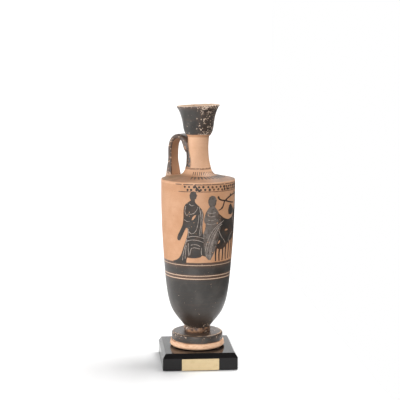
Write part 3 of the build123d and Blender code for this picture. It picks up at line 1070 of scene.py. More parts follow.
class LekythosStage(bpy.types.PropertyGroup):
    """Camera, lights and floor."""

    azimuth: an_angle("Camera angle", "Angle of the camera to the right of the front", -5.468)
    roll: an_angle("Camera roll", "Turn of the camera about its own axis", 0.363)
    distance: a_length("Camera distance", "Level distance from the aim", 1.17406)
    height: a_length("Camera height", "Height above the table", 0.33268)
    aim: bpy.props.FloatVectorProperty(
        name="Aim",
        description="Point the camera looks at",
        default=(0.002057, 0.0, 0.17039),
        size=3,
        subtype="XYZ",
        unit="LENGTH",
    )
    lens: bpy.props.FloatProperty(name="Lens", description="Focal length in millimetres", default=103.5)
    key: a_power("Key light", "Power of the light in front at the left", 16.4)
    side: a_power("Side light", "Power of the light at the left", 5.2)
    top: a_power("Top light", "Power of the light overhead", 12.5)
    ambient: bpy.props.FloatProperty(
        name="Surroundings", description="Brightness of the room around the stage", default=0.18
    )
    sweep_depth: a_length("Sweep depth", "Distance from the axis to the backdrop", 0.62)
    sweep_bend: a_length("Sweep bend", "Radius of the bend from floor to backdrop", 0.22)
    sweep_left: a_length("Sweep to the left", "Reach of the floor and backdrop to the left", 0.5)
    sweep_right: a_length("Sweep to the right", "Reach of the floor and backdrop to the right", 0.17)
    sweep_height: a_length("Sweep height", "Height of the backdrop", 0.8)


# Thrown pieces

LIP_DEPTH = 2.2 * MM
LIP_WAVE = 0.35 * MM
LIP_WAVE_SCALE = 1.6
LIP_WAVE_PLACE = 4.0
# The mouth bends into its tilt over this height, and its wall goes aside by a share of the tilt
TILT_HEEL = 14 * MM
TILT_SHIFT = 0.35


class LEKYTHOS_OT_mouth(bpy.types.Operator):
    """Throw the mouth, with its tilt and its chipped lip"""

    bl_idname = "lekythos.mouth"
    bl_label = "Mouth"

    def execute(self, context):
        paint = context.scene.lekythos_paint
        base, top = foot_of("mouth"), top_of("mouth")
        chips = bites(seed=3, count=15, width=0.16, depth=0.7 * MM)

        def shape(angle, radius, height):
            near_lip = max(0.0, 1 - (top - height) / LIP_DEPTH)
            cut = bite_depth(chips, angle) * near_lip
            round_lip = Vector(direction_at(angle)) * LIP_WAVE_SCALE
            wave = abs(noise.noise(round_lip + UP * LIP_WAVE_PLACE)) * LIP_WAVE * near_lip
            rise = height - base
            bent = min(rise / TILT_HEEL, 1.0)
            towards = paint.mouth_tilt * math.cos(angle - paint.mouth_high_side)
            shift = TILT_SHIFT * towards * bent * (rise - bent * TILT_HEEL / 2)
            lifted = height + towards * bent * radius - cut * 0.7 - wave
            return radius + thrown(angle, height) - cut - shift, lifted

        piece = turned_object("vase_mouth", "mouth", around=200, step=OUTLINE_STEP, shape=shape)
        finish_piece(piece, clay_material("Mouth clay", mouth_zones), "mouth")
        return {"FINISHED"}


# Clay dragged down the neck from the root of the handle: its depth, and its heights above the neck's foot
DRAG = 1.7 * MM
DRAG_LOW = 2.4 * MM
DRAG_FULL = 15.4 * MM
DRAG_HIGH = 21.4 * MM
DRAG_FADE = 4 * MM
DRAG_SPREAD = 0.8
NECK_INSIDE = 9 * MM


class LEKYTHOS_OT_neck(bpy.types.Operator):
    """Throw the neck, with the clay that is dragged down it from the root of the handle"""

    bl_idname = "lekythos.neck"
    bl_label = "Neck"

    def execute(self, context):
        paint = context.scene.lekythos_paint
        foot = foot_of("neck")

        def shape(angle, radius, height):
            drag = 0.0
            rise = height - foot
            if radius > NECK_INSIDE and DRAG_LOW < rise < DRAG_HIGH:
                grown = min((rise - DRAG_LOW) / (DRAG_FULL - DRAG_LOW), 1.0)
                near = clamped(math.cos(angle - paint.handle_angle) / DRAG_SPREAD)
                drag = DRAG * grown * near * near * min((DRAG_HIGH - rise) / DRAG_FADE, 1.0)
            return radius + thrown(angle, height) + drag, height

        piece = turned_object("vase_neck", "neck", around=160, step=OUTLINE_STEP, shape=shape)
        finish_piece(piece, clay_material("Neck clay", neck_zones), "neck")
        return {"FINISHED"}


class LEKYTHOS_OT_shoulder(bpy.types.Operator):
    """Throw the shoulder and its collar"""

    bl_idname = "lekythos.shoulder"
    bl_label = "Shoulder"

    def execute(self, context):
        piece = turned_object(
            "vase_shoulder", "shoulder", around=240, step=OUTLINE_STEP, shape=plain_wall
        )
        finish_piece(piece, clay_material("Shoulder clay", shoulder_zones), "shoulder")
        return {"FINISHED"}


class LEKYTHOS_OT_body(bpy.types.Operator):
    """Throw the body"""

    bl_idname = "lekythos.body"
    bl_label = "Body"

    def execute(self, context):
        piece = turned_object("vase_body", "body", around=256, step=1.0 * MM, shape=plain_wall)
        finish_piece(piece, clay_material("Body clay", body_zones), "body")
        return {"FINISHED"}


# The foot stands flat, and its rim is chipped only near its upper edge
FOOT_FLAT = 0.2 * MM
FOOT_RIM_HEIGHT = 12 * MM
FOOT_RIM_REACH = 1.4 * MM
# Lumps of the coil, as a share of its swell, with their scale round it and up it
COIL_LUMP = 0.7
COIL_SCALE = 5
COIL_RISE = 300


class LEKYTHOS_OT_foot(bpy.types.Operator):
    """Throw the foot and lay the coil of clay round its stem"""

    bl_idname = "lekythos.foot"
    bl_label = "Foot and coil"

    def execute(self, context):
        chips = bites(seed=11, count=16, width=0.1, depth=0.45 * MM)
        rest = foot_of("foot")
        rim = context.scene.lekythos_paint.foot_rim

        def shape(angle, radius, height):
            near_rim = 0.0
            if height > rest + FOOT_RIM_HEIGHT:
                near_rim = max(0.0, 1 - abs(radius - rim) / FOOT_RIM_REACH)
            cut = bite_depth(chips, angle) * near_rim
            untrue = thrown(angle, height) if height > rest + FOOT_FLAT else 0.0
            return max(radius + untrue - cut, 0.0), height - 0.5 * cut

        piece = turned_object("vase_foot", "foot", around=220, step=0.7 * MM, shape=shape)
        finish_piece(piece, clay_material("Foot clay", foot_zones), "foot")

        seat = min(point[0] for point in turned_outline("foot_fillet")[0])

        def lumpy(angle, radius, height):
            place = Vector(direction_at(angle)) * COIL_SCALE + UP * height * COIL_RISE
            return seat + (radius - seat) * (1 + COIL_LUMP * noise.noise(place)), height

        coil = turned_object("stem_coil", "foot_fillet", around=180, step=0.3 * MM, shape=lumpy)
        finish_piece(coil, clay_material("Coil clay", coil_zones), "foot_fillet")
        return {"FINISHED"}


# The strap: its half width, which flares towards its foot, and the middle of its loop from the axis
STRAP_HALF_WIDTH = 6.8 * MM
STRAP_FLARE = 2.9 * MM
STRAP_FLARE_TOP = 211 * MM
STRAP_FLARE_HEIGHT = 22 * MM
STRAP_LOOP_MIDDLE = 20 * MM
STRAP_VOXEL = 0.42 * MM
STRAP_WELD = 0.002 * MM
# Where the slip lies on the strap: how far across its rims start, and how square to them its flanks are
RIM_START = 0.72
RIM_WIDTH = 0.2
RIM_BLACK = 1.5
FLANK_START = 0.7
FLANK_BARE = 1.3
# The free part of the strap swells on its outside, away from the neck and the shoulder
STRAP_SWELL = 0.55
SWELL_TURN = 0.4
STRAP_FREE_REACH = 17 * MM
STRAP_FREE_RISE = 5 * MM
STRAP_FREE_FADE = 5 * MM
# Dents all over the strap: their scale and their depth in millimetres
STRAP_DENTS = ((160, 0.12), (520, 0.06))


class LEKYTHOS_OT_handle(bpy.types.Operator):
    """Pull the strap handle"""

    bl_idname = "lekythos.handle"
    bl_label = "Handle"

    def execute(self, context):
        mesh = self.even_mesh(context)
        outward = Vector(direction_at(context.scene.lekythos_paint.handle_angle))
        across = outward.cross(UP)
        low, high = foot_of("handle"), top_of("handle")
        heart = outward * STRAP_LOOP_MIDDLE + UP * (low + high) / 2

        def facing(vertex):
            away = vertex.co - heart
            out = Vector((away.dot(outward), away.z)).normalized()
            return out.dot(Vector((vertex.normal.dot(outward), vertex.normal.z)))

        sides = []
        for vertex in mesh.vertices:
            flare = clamped((STRAP_FLARE_TOP - vertex.co.z) / STRAP_FLARE_HEIGHT)
            half = STRAP_HALF_WIDTH + flare * STRAP_FLARE
            rim = clamped((abs((vertex.co - heart).dot(across)) / half - RIM_START) / RIM_WIDTH)
            flank = clamped((abs(vertex.normal.dot(across)) - FLANK_START) / (1 - FLANK_START))
            sides.append(facing(vertex) + RIM_BLACK * rim - FLANK_BARE * flank)
        # A normal turns when its neighbours move, so the order of the vertices is part of the uneven shape
        for vertex in mesh.vertices:
            dent = sum(noise.noise(vertex.co * scale) * depth for scale, depth in STRAP_DENTS)
            free = clamped((vertex.co.dot(outward) - STRAP_FREE_REACH) / STRAP_FREE_FADE)
            free *= clamped((vertex.co.z - low - STRAP_FREE_RISE) / STRAP_FREE_FADE)
            swell = STRAP_SWELL * max(0.0, (facing(vertex) + SWELL_TURN) / (1 + SWELL_TURN)) * free
            vertex.co += vertex.normal * (dent + swell) * MM
        mesh.attributes.new("outer_side", "FLOAT", "POINT").data.foreach_set("value", sides)
        mesh.shade_smooth()
        piece = linked("strap_handle", mesh)
        finish_piece(piece, clay_material("Handle clay", handle_zones), "handle")
        return {"FINISHED"}

    def even_mesh(self, context):
        """The CAD handle with an even mesh and softened edges."""
        rough = linked("strap_rough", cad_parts["handle"].data.copy())
        work = bmesh.new()
        work.from_mesh(rough.data)
        bmesh.ops.remove_doubles(work, verts=work.verts, dist=STRAP_WELD)
        work.to_mesh(rough.data)
        work.free()
        remesh = rough.modifiers.new("Even mesh", "REMESH")
        remesh.mode = "VOXEL"
        remesh.voxel_size = STRAP_VOXEL
        smooth = rough.modifiers.new("Soft edges", "SMOOTH")
        smooth.factor = 0.5
        smooth.iterations = 3
        context.view_layer.update()
        mesh = bpy.data.meshes.new_from_object(rough.evaluated_get(context.evaluated_depsgraph_get()))
        bpy.data.objects.remove(rough)
        if len(mesh.vertices) < 1000:
            raise RuntimeError("The handle's mesh could not be made even")
        mesh.name = "strap_handle"
        return mesh


class LEKYTHOS_OT_seams(bpy.types.Operator):
    """Finish the slip in the seams"""

    bl_idname = "lekythos.seams"
    bl_label = "Slip seams"

    def execute(self, context):
        slip = clay_material("Slip", seam_zones)
        for name in ("foot_seam_slip", "mouth_seam_slip", "handle_seam_slip"):
            dress_node(name, slip)
        dress_node("shoulder_seam_slip", clay_material("Shoulder clay", shoulder_zones))
        dress_node("neck_seam_slip", clay_material("Neck ring", neck_seam_zones))
        return {"FINISHED"}


# The dotted band, in millimetres across the wall from the front: rows as shares of the band's height
DOT_ROWS = (0.68, 0.27)
DOT_ROW_SHIFT = 2.3
DOT_BAND = (-13.0, 92.0)
DOT_POINTS = 7
FADED_DOTS = (14, 26)
WIDE_DOTS_END = 24
# A smear of slip across the band, up from its foot
SMEAR = [(-4.4, 6.8), (-3.0, 7.3), (-0.6, 4.3), (2.2, 1.5), (2.8, -0.2), (0.8, 0.0), (-1.8, 2.8)]

# Rows of strokes on the shoulder: inner and outer radius, width in millimetres and gap in degrees
STROKE_ROWS = ((14.2, 16.9, 0.95, 7.6), (19.6, 28.0, 2.0, 8.2))
STROKE_ROW_SHIFT = 3
STROKES_START = -72
STROKES_SPAN = 146
# Radius at which the strokes are drawn flat
STROKE_RADIUS = 20


class LEKYTHOS_OT_dots(bpy.types.Operator):
    """Paint the two rows of dots and the strokes on the shoulder"""

    bl_idname = "lekythos.dots"
    bl_label = "Dots and strokes"

    def execute(self, context):
        paint = context.scene.lekythos_paint
        dice = random.Random(8)
        shapes = self.dots(paint, dice)
        shapes.append(([soft_loop(raised(SMEAR, paint.band_foot / MM))], 0.1, 0.0))
        band = painted_object("dot_band", shapes, body_wall(), paint.lift, paint.sink, grain=0.9)
        finish_piece(band, figure_material())
        shapes = self.strokes(paint, dice)
        slope = shoulder_slope(paint)
        ticks = painted_object("shoulder_strokes", shapes, slope, paint.lift, paint.sink, grain=0.6)
        finish_piece(ticks, figure_material())
        return {"FINISHED"}

    def dots(self, paint, dice):
        """Two rows of round dots that differ a little in place and size."""
        shapes = []
        for row, share in enumerate(DOT_ROWS):
            level = paint.band_foot + share * (paint.band_top - paint.band_foot)
            across = DOT_BAND[0] + DOT_ROW_SHIFT * row
            while across < DOT_BAND[1]:
                middle = (across + dice.uniform(-0.4, 0.4), level / MM + dice.uniform(-0.3, 0.3))
                size = dice.uniform(1.15, 1.45)
                pale = 0.8 if FADED_DOTS[0] < across < FADED_DOTS[1] else 0.0
                points = []
                for k in range(DOT_POINTS):
                    turn = FULL_TURN * k / DOT_POINTS
                    reach = size * dice.uniform(0.82, 1.15)
                    points.append((middle[0] + reach * math.cos(turn), middle[1] + reach * math.sin(turn)))
                shapes.append(([soft_loop(points, DOT_STEP)], pale - dice.uniform(0.1, 0.4), 0.0))
                across += dice.uniform(4.2, 4.9) if across < WIDE_DOTS_END else dice.uniform(3.2, 3.9)
        return shapes

    def strokes(self, paint, dice):
        """Two rows of short strokes down the shoulder, fainter towards the far side."""
        shapes = []
        start = math.degrees(paint.front_angle) + STROKES_START
        for row, (inner, outer, width, gap) in enumerate(STROKE_ROWS):
            turn = start + STROKE_ROW_SHIFT * row
            while turn < start + STROKES_SPAN:
                lean = dice.uniform(0.0, 0.8)
                fade = min(0.6, max(0.0, (turn - start - 45) / 90)) - dice.uniform(0.45, 0.6)
                points = [(turn, inner), (turn + lean * 0.5, (inner + outer) / 2), (turn + lean, outer)]
                flat = [(math.radians(degrees) * STROKE_RADIUS, radius) for degrees, radius in points]
                wide = width * dice.uniform(0.8, 1.2)
                shapes.append(([ribbon(flat, wide, wide * 0.55)], fade, 0.0))
                turn += gap * dice.uniform(0.9, 1.1)
        return shapes


# Height at which the frieze is as wide as it is drawn
FRIEZE_MIDDLE = 150 * MM


def body_wall():
    """A function that puts a flat point, in millimetres across and up, on the painted wall."""
    wall = Wall("body")
    view = FRONT + bpy.context.scene.lekythos_stage.azimuth
    spread = wall.radius(FRIEZE_MIDDLE)

    def place(across, height, lift):
        angle = view + across * MM / spread
        level = height * MM
        radius = wall.radius(level) + thrown(angle, level) + lift
        return Vector((radius * math.cos(angle), radius * math.sin(angle), level))

    return place


def shoulder_slope(paint):
    """A function that puts a flat point, in millimetres round and out, on the shoulder's upper side."""
    path, closed = turned_outline("shoulder")
    top = {}
    for radius, height in refined(path, closed, 0.5 * MM):
        if height > paint.shoulder_foot:
            key = round(radius / MM, 1)
            top[key] = max(top.get(key, 0.0), height)
    radii = sorted(top)

    def level(radius):
        i = min(max(bisect.bisect(radii, radius), 1), len(radii) - 1)
        share = (radius - radii[i - 1]) / (radii[i] - radii[i - 1])
        return top[radii[i - 1]] * (1 - share) + top[radii[i]] * share

    def place(across, radius, lift):
        angle = across / STROKE_RADIUS
        slope = (level(radius + 0.2) - level(radius - 0.2)) / (0.4 * MM)
        lean = Vector((-slope, 1.0)).normalized()
        real = radius * MM + lean.x * lift
        return Vector((real * math.cos(angle), real * math.sin(angle), level(radius) + lean.y * lift))

    return place


# The frieze, in millimetres: across the wall from the front, and up from the foot of the frieze

ATTENDANT = [
    (-6.6, 66.6), (-9.2, 64.8), (-12.2, 62.4), (-13.8, 59.5), (-14.6, 55.0), (-14.7, 50.0), (-15.0, 45.5),
    (-15.8, 41.0), (-17.6, 37.0), (-19.8, 33.0), (-21.5, 30.0), (-22.4, 27.0), (-21.6, 24.8), (-18.8, 25.0),
    (-16.9, 28.5), (-15.0, 32.2), (-13.2, 36.0), (-12.0, 38.0), (-10.6, 38.2), (-10.2, 35.0), (-11.0, 30.0),
    (-12.6, 25.0), (-14.4, 20.0), (-16.3, 15.0), (-18.2, 10.5), (-20.6, 7.0), (-24.5, 4.4), (-29.0, 3.0),
    (-29.0, 1.0), (-20.0, 0.8), (-12.0, 1.0), (-12.2, 4.6), (-11.2, 7.6), (-6.0, 7.2), (-1.0, 7.4),
    (3.0, 8.2), (4.6, 9.8), (6.8, 9.4), (8.4, 8.4), (8.6, 14.0), (7.6, 20.0), (6.6, 26.0), (5.6, 31.0),
    (4.9, 36.0), (5.0, 42.0), (5.6, 48.0), (5.7, 52.5), (4.2, 56.5), (1.6, 59.8), (-0.8, 62.2), (-2.4, 64.0),
    (-3.2, 66.4),
]
ATTENDANT_HEAD = [
    (-6.4, 65.6), (-8.0, 68.4), (-8.4, 71.6), (-7.2, 74.4), (-4.6, 75.6), (-2.3, 74.6), (-1.3, 72.4),
    (-0.6, 70.9), (-1.4, 69.9), (-1.7, 68.3), (-2.9, 67.2), (-3.0, 65.4),
]
ATTENDANT_GAP = [(-6.2, 46.3), (-5.4, 49.2), (-3.4, 51.2), (-1.6, 51.6), (-2.6, 49.4), (-4.6, 46.6)]
DRIVER = [
    (12.3, 60.2), (10.2, 57.4), (8.3, 54.2), (7.0, 50.6), (6.2, 46.2), (6.6, 43.8), (7.9, 42.6), (7.7, 39.0),
    (6.9, 35.6), (5.9, 33.2), (5.4, 30.0), (6.0, 24.0), (6.6, 18.0), (7.6, 12.0), (9.4, 7.6), (11.6, 5.2),
    (14.4, 5.0), (15.4, 7.4), (16.6, 9.6), (18.8, 14.5), (20.0, 19.0), (22.0, 24.0), (24.0, 34.0),
    (25.5, 42.0), (25.0, 47.0), (23.6, 50.6), (21.8, 53.6), (20.0, 56.4), (18.2, 58.6), (17.2, 60.4),
]
DRIVER_HEAD = [
    (12.4, 59.4), (10.6, 62.5), (10.2, 66.0), (11.4, 69.4), (14.0, 71.0), (17.2, 70.2), (18.9, 67.6),
    (19.5, 65.4), (18.9, 64.2), (18.8, 62.2), (17.4, 59.6),
]
TEAM = [
    (21.5, 52.6), (24.5, 50.6), (27.5, 48.4), (31.0, 46.6), (35.0, 45.6), (39.0, 45.8), (43.0, 47.4),
    (46.0, 50.4), (48.6, 55.0), (51.0, 59.6), (53.4, 63.2), (54.6, 66.2), (55.6, 63.6), (57.6, 61.0),
    (60.2, 57.0), (62.0, 53.4), (61.4, 51.4), (59.4, 51.0), (57.0, 53.0), (54.8, 54.4), (54.4, 51.0),
    (54.0, 46.0), (53.4, 41.0), (53.0, 36.0), (52.4, 31.0), (50.6, 27.0), (47.0, 24.4), (42.0, 23.0),
    (37.0, 20.6), (33.0, 17.6), (29.0, 15.6), (24.6, 15.4), (21.0, 16.6), (19.6, 20.0), (20.4, 26.0),
    (21.5, 35.0), (22.0, 44.0),
]
TEAM_GAPS = [
    [(30.6, 34.6), (32.6, 35.8), (35.4, 35.4), (35.2, 34.2), (32.4, 33.8)],
    [(21.8, 21.2), (22.6, 23.6), (24.4, 25.0), (24.8, 23.4), (23.4, 21.6)],
]
LEGS = [
    ((20.4, 18.0), (19.8, 11.0), (20.2, 3.4)), ((24.6, 17.0), (24.2, 10.0), (24.8, 3.4)),
    ((29.0, 17.6), (29.4, 10.0), (29.0, 3.4)), ((33.8, 19.0), (33.6, 11.0), (34.6, 3.8)),
    ((39.0, 22.4), (39.2, 13.0), (38.8, 4.2)), ((44.4, 24.6), (44.8, 15.0), (44.2, 5.0)),
    ((49.2, 28.0), (51.2, 16.0), (50.4, 3.4)), ((52.4, 34.0), (58.4, 25.0), (57.4, 15.0)),
]
BRANCHES = [
    ((20.8, 69.0), (22.4, 67.0), (25.0, 65.8), (29.5, 65.0), (35.0, 63.6), (41.0, 62.2), (46.0, 61.6)),
    ((29.6, 65.4), (28.2, 61.6), (26.8, 58.2), (24.6, 56.6), (21.8, 55.6)),
    ((30.4, 65.2), (34.5, 67.4), (40.0, 69.2), (46.0, 70.4), (54.0, 70.0)),
    ((47.0, 73.0), (51.0, 70.6), (52.6, 66.0), (52.0, 62.0)),
]
LEAVES = [
    [
        (36.0, 50.6), (35.2, 55.0), (37.2, 59.8), (40.0, 61.0), (43.0, 58.0), (47.4, 54.2), (48.2, 51.0),
        (44.0, 50.6), (40.0, 49.6),
    ],
    [(20.2, 69.6), (21.8, 70.2), (23.0, 68.0), (21.8, 66.6)],
    [(30.2, 64.2), (31.2, 66.4), (33.2, 66.4), (32.4, 64.4)],
    [(36.8, 68.0), (38.4, 71.0), (40.4, 71.4), (39.4, 68.6)],
    [(24.4, 56.0), (25.4, 58.6), (27.6, 59.6), (26.8, 57.0)],
]
ATTENDANT_FOLDS = [
    ((-9.6, 52.6), (-6.5, 52.2), (-3.4, 53.6), (-1.2, 56.6), (0.2, 60.0)),
    ((1.4, 59.4), (2.6, 54.0), (3.2, 48.0), (3.0, 42.0), (2.2, 36.0), (1.6, 30.4)),
    ((4.0, 56.4), (4.7, 50.0), (4.6, 44.0), (3.8, 37.0), (3.0, 30.6)),
    ((-8.9, 34.4), (-6.6, 32.2), (-3.6, 33.2), (-1.4, 36.6), (-0.2, 41.0), (0.8, 47.0), (1.2, 52.0)),
    ((-10.6, 28.6), (-5.0, 29.8), (0.5, 29.4), (6.2, 27.6)),
    ((-11.8, 24.6), (-6.0, 26.0), (0.0, 25.6), (6.0, 23.6)),
    ((-7.2, 20.6), (-4.0, 21.4), (0.0, 20.8), (2.6, 19.4)),
    ((-6.6, 17.4), (-3.0, 18.2), (2.4, 16.8)),
    ((-8.4, 10.4), (-7.6, 14.4), (-6.6, 17.4)),
    ((4.2, 10.6), (3.8, 14.0), (4.2, 18.0)),
    ((-11.4, 27.0), (-13.2, 20.0), (-15.0, 13.4), (-16.2, 8.4), (-16.6, 4.4)),
    ((-12.0, 20.0), (-13.0, 13.0), (-13.6, 6.4)),
    ((-12.2, 60.4), (-13.2, 55.0), (-12.2, 51.4), (-9.6, 50.4)),
    ((-13.8, 46.4), (-11.0, 44.8), (-8.2, 45.0)),
    ((-8.8, 62.6), (-6.2, 60.8), (-3.4, 61.6)),
    ((-10.0, 37.4), (-9.4, 33.0), (-9.8, 29.4)),
    ((-9.8, 22.6), (-9.9, 16.0), (-9.4, 9.6)),
]
DRIVER_FOLDS = [
    ((28.8, 44.6), (23.0, 41.4), (17.0, 36.6), (12.6, 30.0), (9.4, 22.0), (7.9, 14.0)),
    ((26.6, 41.4), (20.6, 37.4), (15.6, 31.0), (12.2, 23.0), (10.2, 15.0), (9.7, 9.0)),
    ((23.0, 38.0), (18.6, 32.0), (15.6, 25.0), (13.4, 17.0), (12.2, 9.0)),
    ((20.6, 35.0), (17.6, 28.0), (15.6, 20.0), (14.0, 12.0), (13.4, 7.0)),
    ((9.8, 50.6), (13.4, 49.4), (18.0, 50.0)),
    ((10.4, 46.4), (14.0, 45.4), (18.4, 46.4)),
    ((9.4, 54.0), (13.6, 52.8), (18.8, 53.6)),
    ((9.2, 42.6), (14.2, 41.4), (20.0, 42.6)),
]
TEAM_FOLDS = [
    ((22.4, 35.4), (26.0, 29.0), (30.0, 24.6), (32.4, 21.4)),
    ((39.6, 46.6), (44.0, 50.6), (47.4, 56.0), (50.4, 61.6)),
    ((44.5, 47.4), (47.0, 42.0), (50.0, 37.6), (52.6, 35.0)),
    ((52.4, 62.0), (55.0, 58.6), (55.6, 55.0)),
    ((38.0, 22.4), (40.0, 28.0), (45.0, 31.0), (50.0, 30.0)),
]
# The greeter on the far side is the driver turned about this upright line
GREETER_MIDDLE = 43.5
# Each figure: its outline and gaps, how faded it is and how dull
FIGURES = [
    ([ATTENDANT, ATTENDANT_GAP], 0.0, 0.06),
    ([ATTENDANT_HEAD], 0.05, 0.15),
    ([DRIVER], 0.05, 0.9),
    ([DRIVER_HEAD], 0.0, 0.75),
    ([TEAM, *TEAM_GAPS], 0.0, 0.0),
    ([mirrored(DRIVER, GREETER_MIDDLE)], 0.05, 0.2),
    ([mirrored(DRIVER_HEAD, GREETER_MIDDLE)], 0.0, 0.1),
    *[([leaf], -0.1, 0.0) for leaf in LEAVES],
]
FOLDS = [
    *ATTENDANT_FOLDS,
    *DRIVER_FOLDS,
    *TEAM_FOLDS,
    *[mirrored(fold, GREETER_MIDDLE) for fold in DRIVER_FOLDS],
]
# Widths at the start and the end of a stroke
LEG_WIDTHS = (2.2, 1.5)
BRANCH_WIDTHS = (1.7, 1.1)
FOLD_WIDTHS = (0.58, 0.42)
FOLD_LIFT = 1.8


class LEKYTHOS_OT_frieze(bpy.types.Operator):
    """Paint the figures, the horses and the branches, and scratch their folds"""

    bl_idname = "lekythos.frieze"
    bl_label = "Figure frieze"

    def execute(self, context):
        paint = context.scene.lekythos_paint
        base = paint.frieze_base / MM
        shapes = []
        for loops, fade, dull in FIGURES:
            shapes.append(([soft_loop(raised(loop, base)) for loop in loops], fade, dull))
        shapes += [([ribbon(raised(leg, base), *LEG_WIDTHS)], 0.0, 0.0) for leg in LEGS]
        shapes += [([ribbon(raised(branch, base), *BRANCH_WIDTHS)], -0.1, 0.0) for branch in BRANCHES]
        wall = body_wall()
        piece = painted_object("figures", shapes, wall, paint.lift, paint.sink, grain=1.2)
        finish_piece(piece, figure_material())

        cuts = [([ribbon(raised(fold, base), *FOLD_WIDTHS)], 0.0, 0.0) for fold in FOLDS]
        piece = painted_object("scratched_folds", cuts, wall, paint.lift * FOLD_LIFT, sink=0.0, grain=0.8)
        finish_piece(piece, scratch_material())
        return {"FINISHED"}


class LEKYTHOS_OT_plinth(bpy.types.Operator):
    """Finish the plinth, its plate, its felt and the wax"""

    bl_idname = "lekythos.plinth"
    bl_label = "Plinth and plate"

    def execute(self, context):
        dress_node("plinth_block", lacquer_material())
        dress_node("name_plate", brass_material())
        dress_node("felt_pad", felt_material())
        dress_node("plate_adhesive", soft_material("Glue", GLUE, 0.3))
        dress_node("wax_dabs", soft_material("Fixing wax", WAX, 0.4))
        return {"FINISHED"}


# Lamps, in metres: where each hangs, what it points at and how large it is
KEY_SPOT = (-0.45, -1.5, 0.6)
KEY_SIZE = (0.8, 1.0)
SIDE_SPOT = (-0.95, -0.05, 0.3)
SIDE_SIZE = (0.9, 0.5)
TOP_SPOT = (0.42, 0.17, 1.06)
TOP_AIM = (0.0, 0.2, 0.0)
TOP_SIZE = (0.65, 0.65)
SENSOR_WIDTH = 36.0
NEAREST_SEEN = 0.01
BEND_PIECES = 12
SHARP_FLOOR_EDGE = math.radians(80)
WHITE = (1.0, 1.0, 1.0, 1.0)


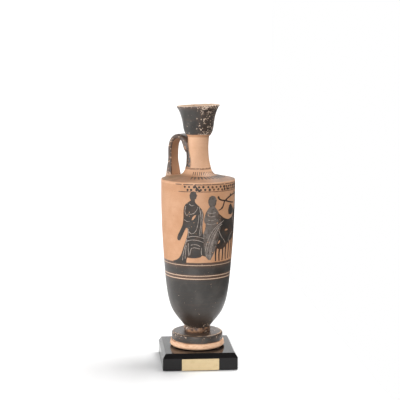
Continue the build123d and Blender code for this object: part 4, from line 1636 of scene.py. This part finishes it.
class LEKYTHOS_OT_stage(bpy.types.Operator):
    """Set the camera, the lights, the pale floor and the white surroundings"""

    bl_idname = "lekythos.stage"
    bl_label = "Stage"

    def execute(self, context):
        stage = context.scene.lekythos_stage
        self.place_camera(context, stage)
        self.place_floor(stage)
        self.place_light("key_light", KEY_SPOT, stage.aim, KEY_SIZE, stage.key)
        self.place_light("side_light", SIDE_SPOT, stage.aim, SIDE_SIZE, stage.side)
        self.place_light("top_light", TOP_SPOT, TOP_AIM, TOP_SIZE, stage.top)
        self.set_world(context, stage)
        context.scene.view_settings.view_transform = "Standard"
        return {"FINISHED"}

    def place_camera(self, context, stage):
        camera = bpy.data.cameras.new("camera")
        camera.lens = stage.lens
        camera.sensor_width = SENSOR_WIDTH
        camera.clip_start = NEAREST_SEEN
        aim = Vector(stage.aim)
        spot = aim + Vector((math.sin(stage.azimuth), -math.cos(stage.azimuth), 0)) * stage.distance
        spot.z = stage.height
        forward = (aim - spot).normalized()
        right = forward.cross(UP).normalized()
        turned = Matrix((right, right.cross(forward), -forward)).transposed()
        turned = turned @ Matrix.Rotation(stage.roll, 3, "Z")
        thing = linked("camera", camera)
        thing.matrix_world = Matrix.Translation(spot) @ turned.to_4x4()
        context.scene.camera = thing

    def place_floor(self, stage):
        """A floor that bends up into a backdrop, see-through from behind so that other views stay open."""
        bend, back = stage.sweep_bend, stage.sweep_depth
        line = [(-back, 0.0), (0.0, 0.0), (back - bend, 0.0)]
        for k in range(1, BEND_PIECES + 1):
            turn = FULL_TURN / 4 * k / BEND_PIECES
            line.append((back - bend + bend * math.sin(turn), bend - bend * math.cos(turn)))
        line.append((back, stage.sweep_height))
        sides = (-stage.sweep_left, stage.sweep_right)
        vertices = [(side, depth, level) for depth, level in line for side in sides]
        faces = [(2 * k, 2 * k + 1, 2 * k + 3, 2 * k + 2) for k in range(len(line) - 1)]
        floor = new_object("floor", vertices, faces, SHARP_FLOOR_EDGE)
        if floor.data.polygons[0].normal.z < 0:
            floor.data.flip_normals()
        material, graph, place, shader = new_material("Pale floor")
        graph.feed(shader.inputs["Base Color"], graph.mix(graph.noise(place, 6.0, 2.0), *FLOOR))
        shader.inputs["Roughness"].default_value = 0.6
        behind = graph.add("NewGeometry").outputs["Backfacing"]
        graph.feed(shader.inputs["Alpha"], graph.flip(behind))
        floor.data.materials.append(material)

    def place_light(self, name, spot, aim, size, power):
        light = bpy.data.lights.new(name, "AREA")
        light.shape = "RECTANGLE"
        light.size, light.size_y = size
        light.energy = power
        thing = linked(name, light)
        thing.location = spot
        thing.rotation_euler = (Vector(aim) - Vector(spot)).to_track_quat("-Z", "Y").to_euler()

    def set_world(self, context, stage):
        """A dim room that the camera sees as white."""
        world = bpy.data.worlds.new("White room")
        world.use_nodes = True
        context.scene.world = world
        world.node_tree.nodes.clear()
        graph = Graph(world.node_tree)
        seen = graph.add("LightPath").outputs["Is Camera Ray"]
        white = graph.add("Background", {"Color": WHITE, "Strength": 1.0})
        room = graph.add("Background", {"Color": WHITE, "Strength": stage.ambient})
        joined = graph.add("MixShader", {0: seen, 1: room.outputs[0], 2: white.outputs[0]})
        graph.add("OutputWorld", {"Surface": joined.outputs[0]})


class LEKYTHOS_PT_panel(bpy.types.Panel):
    """Buttons for the pieces, in the order they are made, and their settings"""

    bl_idname = "LEKYTHOS_PT_panel"
    bl_label = "Lekythos"
    bl_space_type = "VIEW_3D"
    bl_region_type = "UI"
    bl_category = "Lekythos"

    def draw(self, context):
        column = self.layout.column()
        for piece in PIECES:
            column.operator(piece.bl_idname)
        for key in LekythosPaint.__annotations__:
            column.prop(context.scene.lekythos_paint, key)
        for key in LekythosStage.__annotations__:
            column.prop(context.scene.lekythos_stage, key)


PIECES = (
    LEKYTHOS_OT_mouth,
    LEKYTHOS_OT_neck,
    LEKYTHOS_OT_shoulder,
    LEKYTHOS_OT_body,
    LEKYTHOS_OT_foot,
    LEKYTHOS_OT_handle,
    LEKYTHOS_OT_seams,
    LEKYTHOS_OT_dots,
    LEKYTHOS_OT_frieze,
    LEKYTHOS_OT_plinth,
    LEKYTHOS_OT_stage,
)
CLASSES = (LekythosPaint, LekythosStage, *PIECES, LEKYTHOS_PT_panel)


def register():
    for entry in CLASSES:
        bpy.utils.register_class(entry)
    bpy.types.Scene.lekythos_paint = bpy.props.PointerProperty(type=LekythosPaint)
    bpy.types.Scene.lekythos_stage = bpy.props.PointerProperty(type=LekythosStage)


def unregister():
    del bpy.types.Scene.lekythos_stage
    del bpy.types.Scene.lekythos_paint
    for entry in reversed(CLASSES):
        bpy.utils.unregister_class(entry)


def main():
    register()
    bpy.ops.lekythos.mouth()
    bpy.ops.lekythos.neck()
    bpy.ops.lekythos.shoulder()
    bpy.ops.lekythos.body()
    bpy.ops.lekythos.foot()
    bpy.ops.lekythos.handle()
    bpy.ops.lekythos.seams()
    bpy.ops.lekythos.dots()
    bpy.ops.lekythos.frieze()
    bpy.ops.lekythos.plinth()
    bpy.ops.lekythos.stage()


if __name__ == "__main__":
    main()
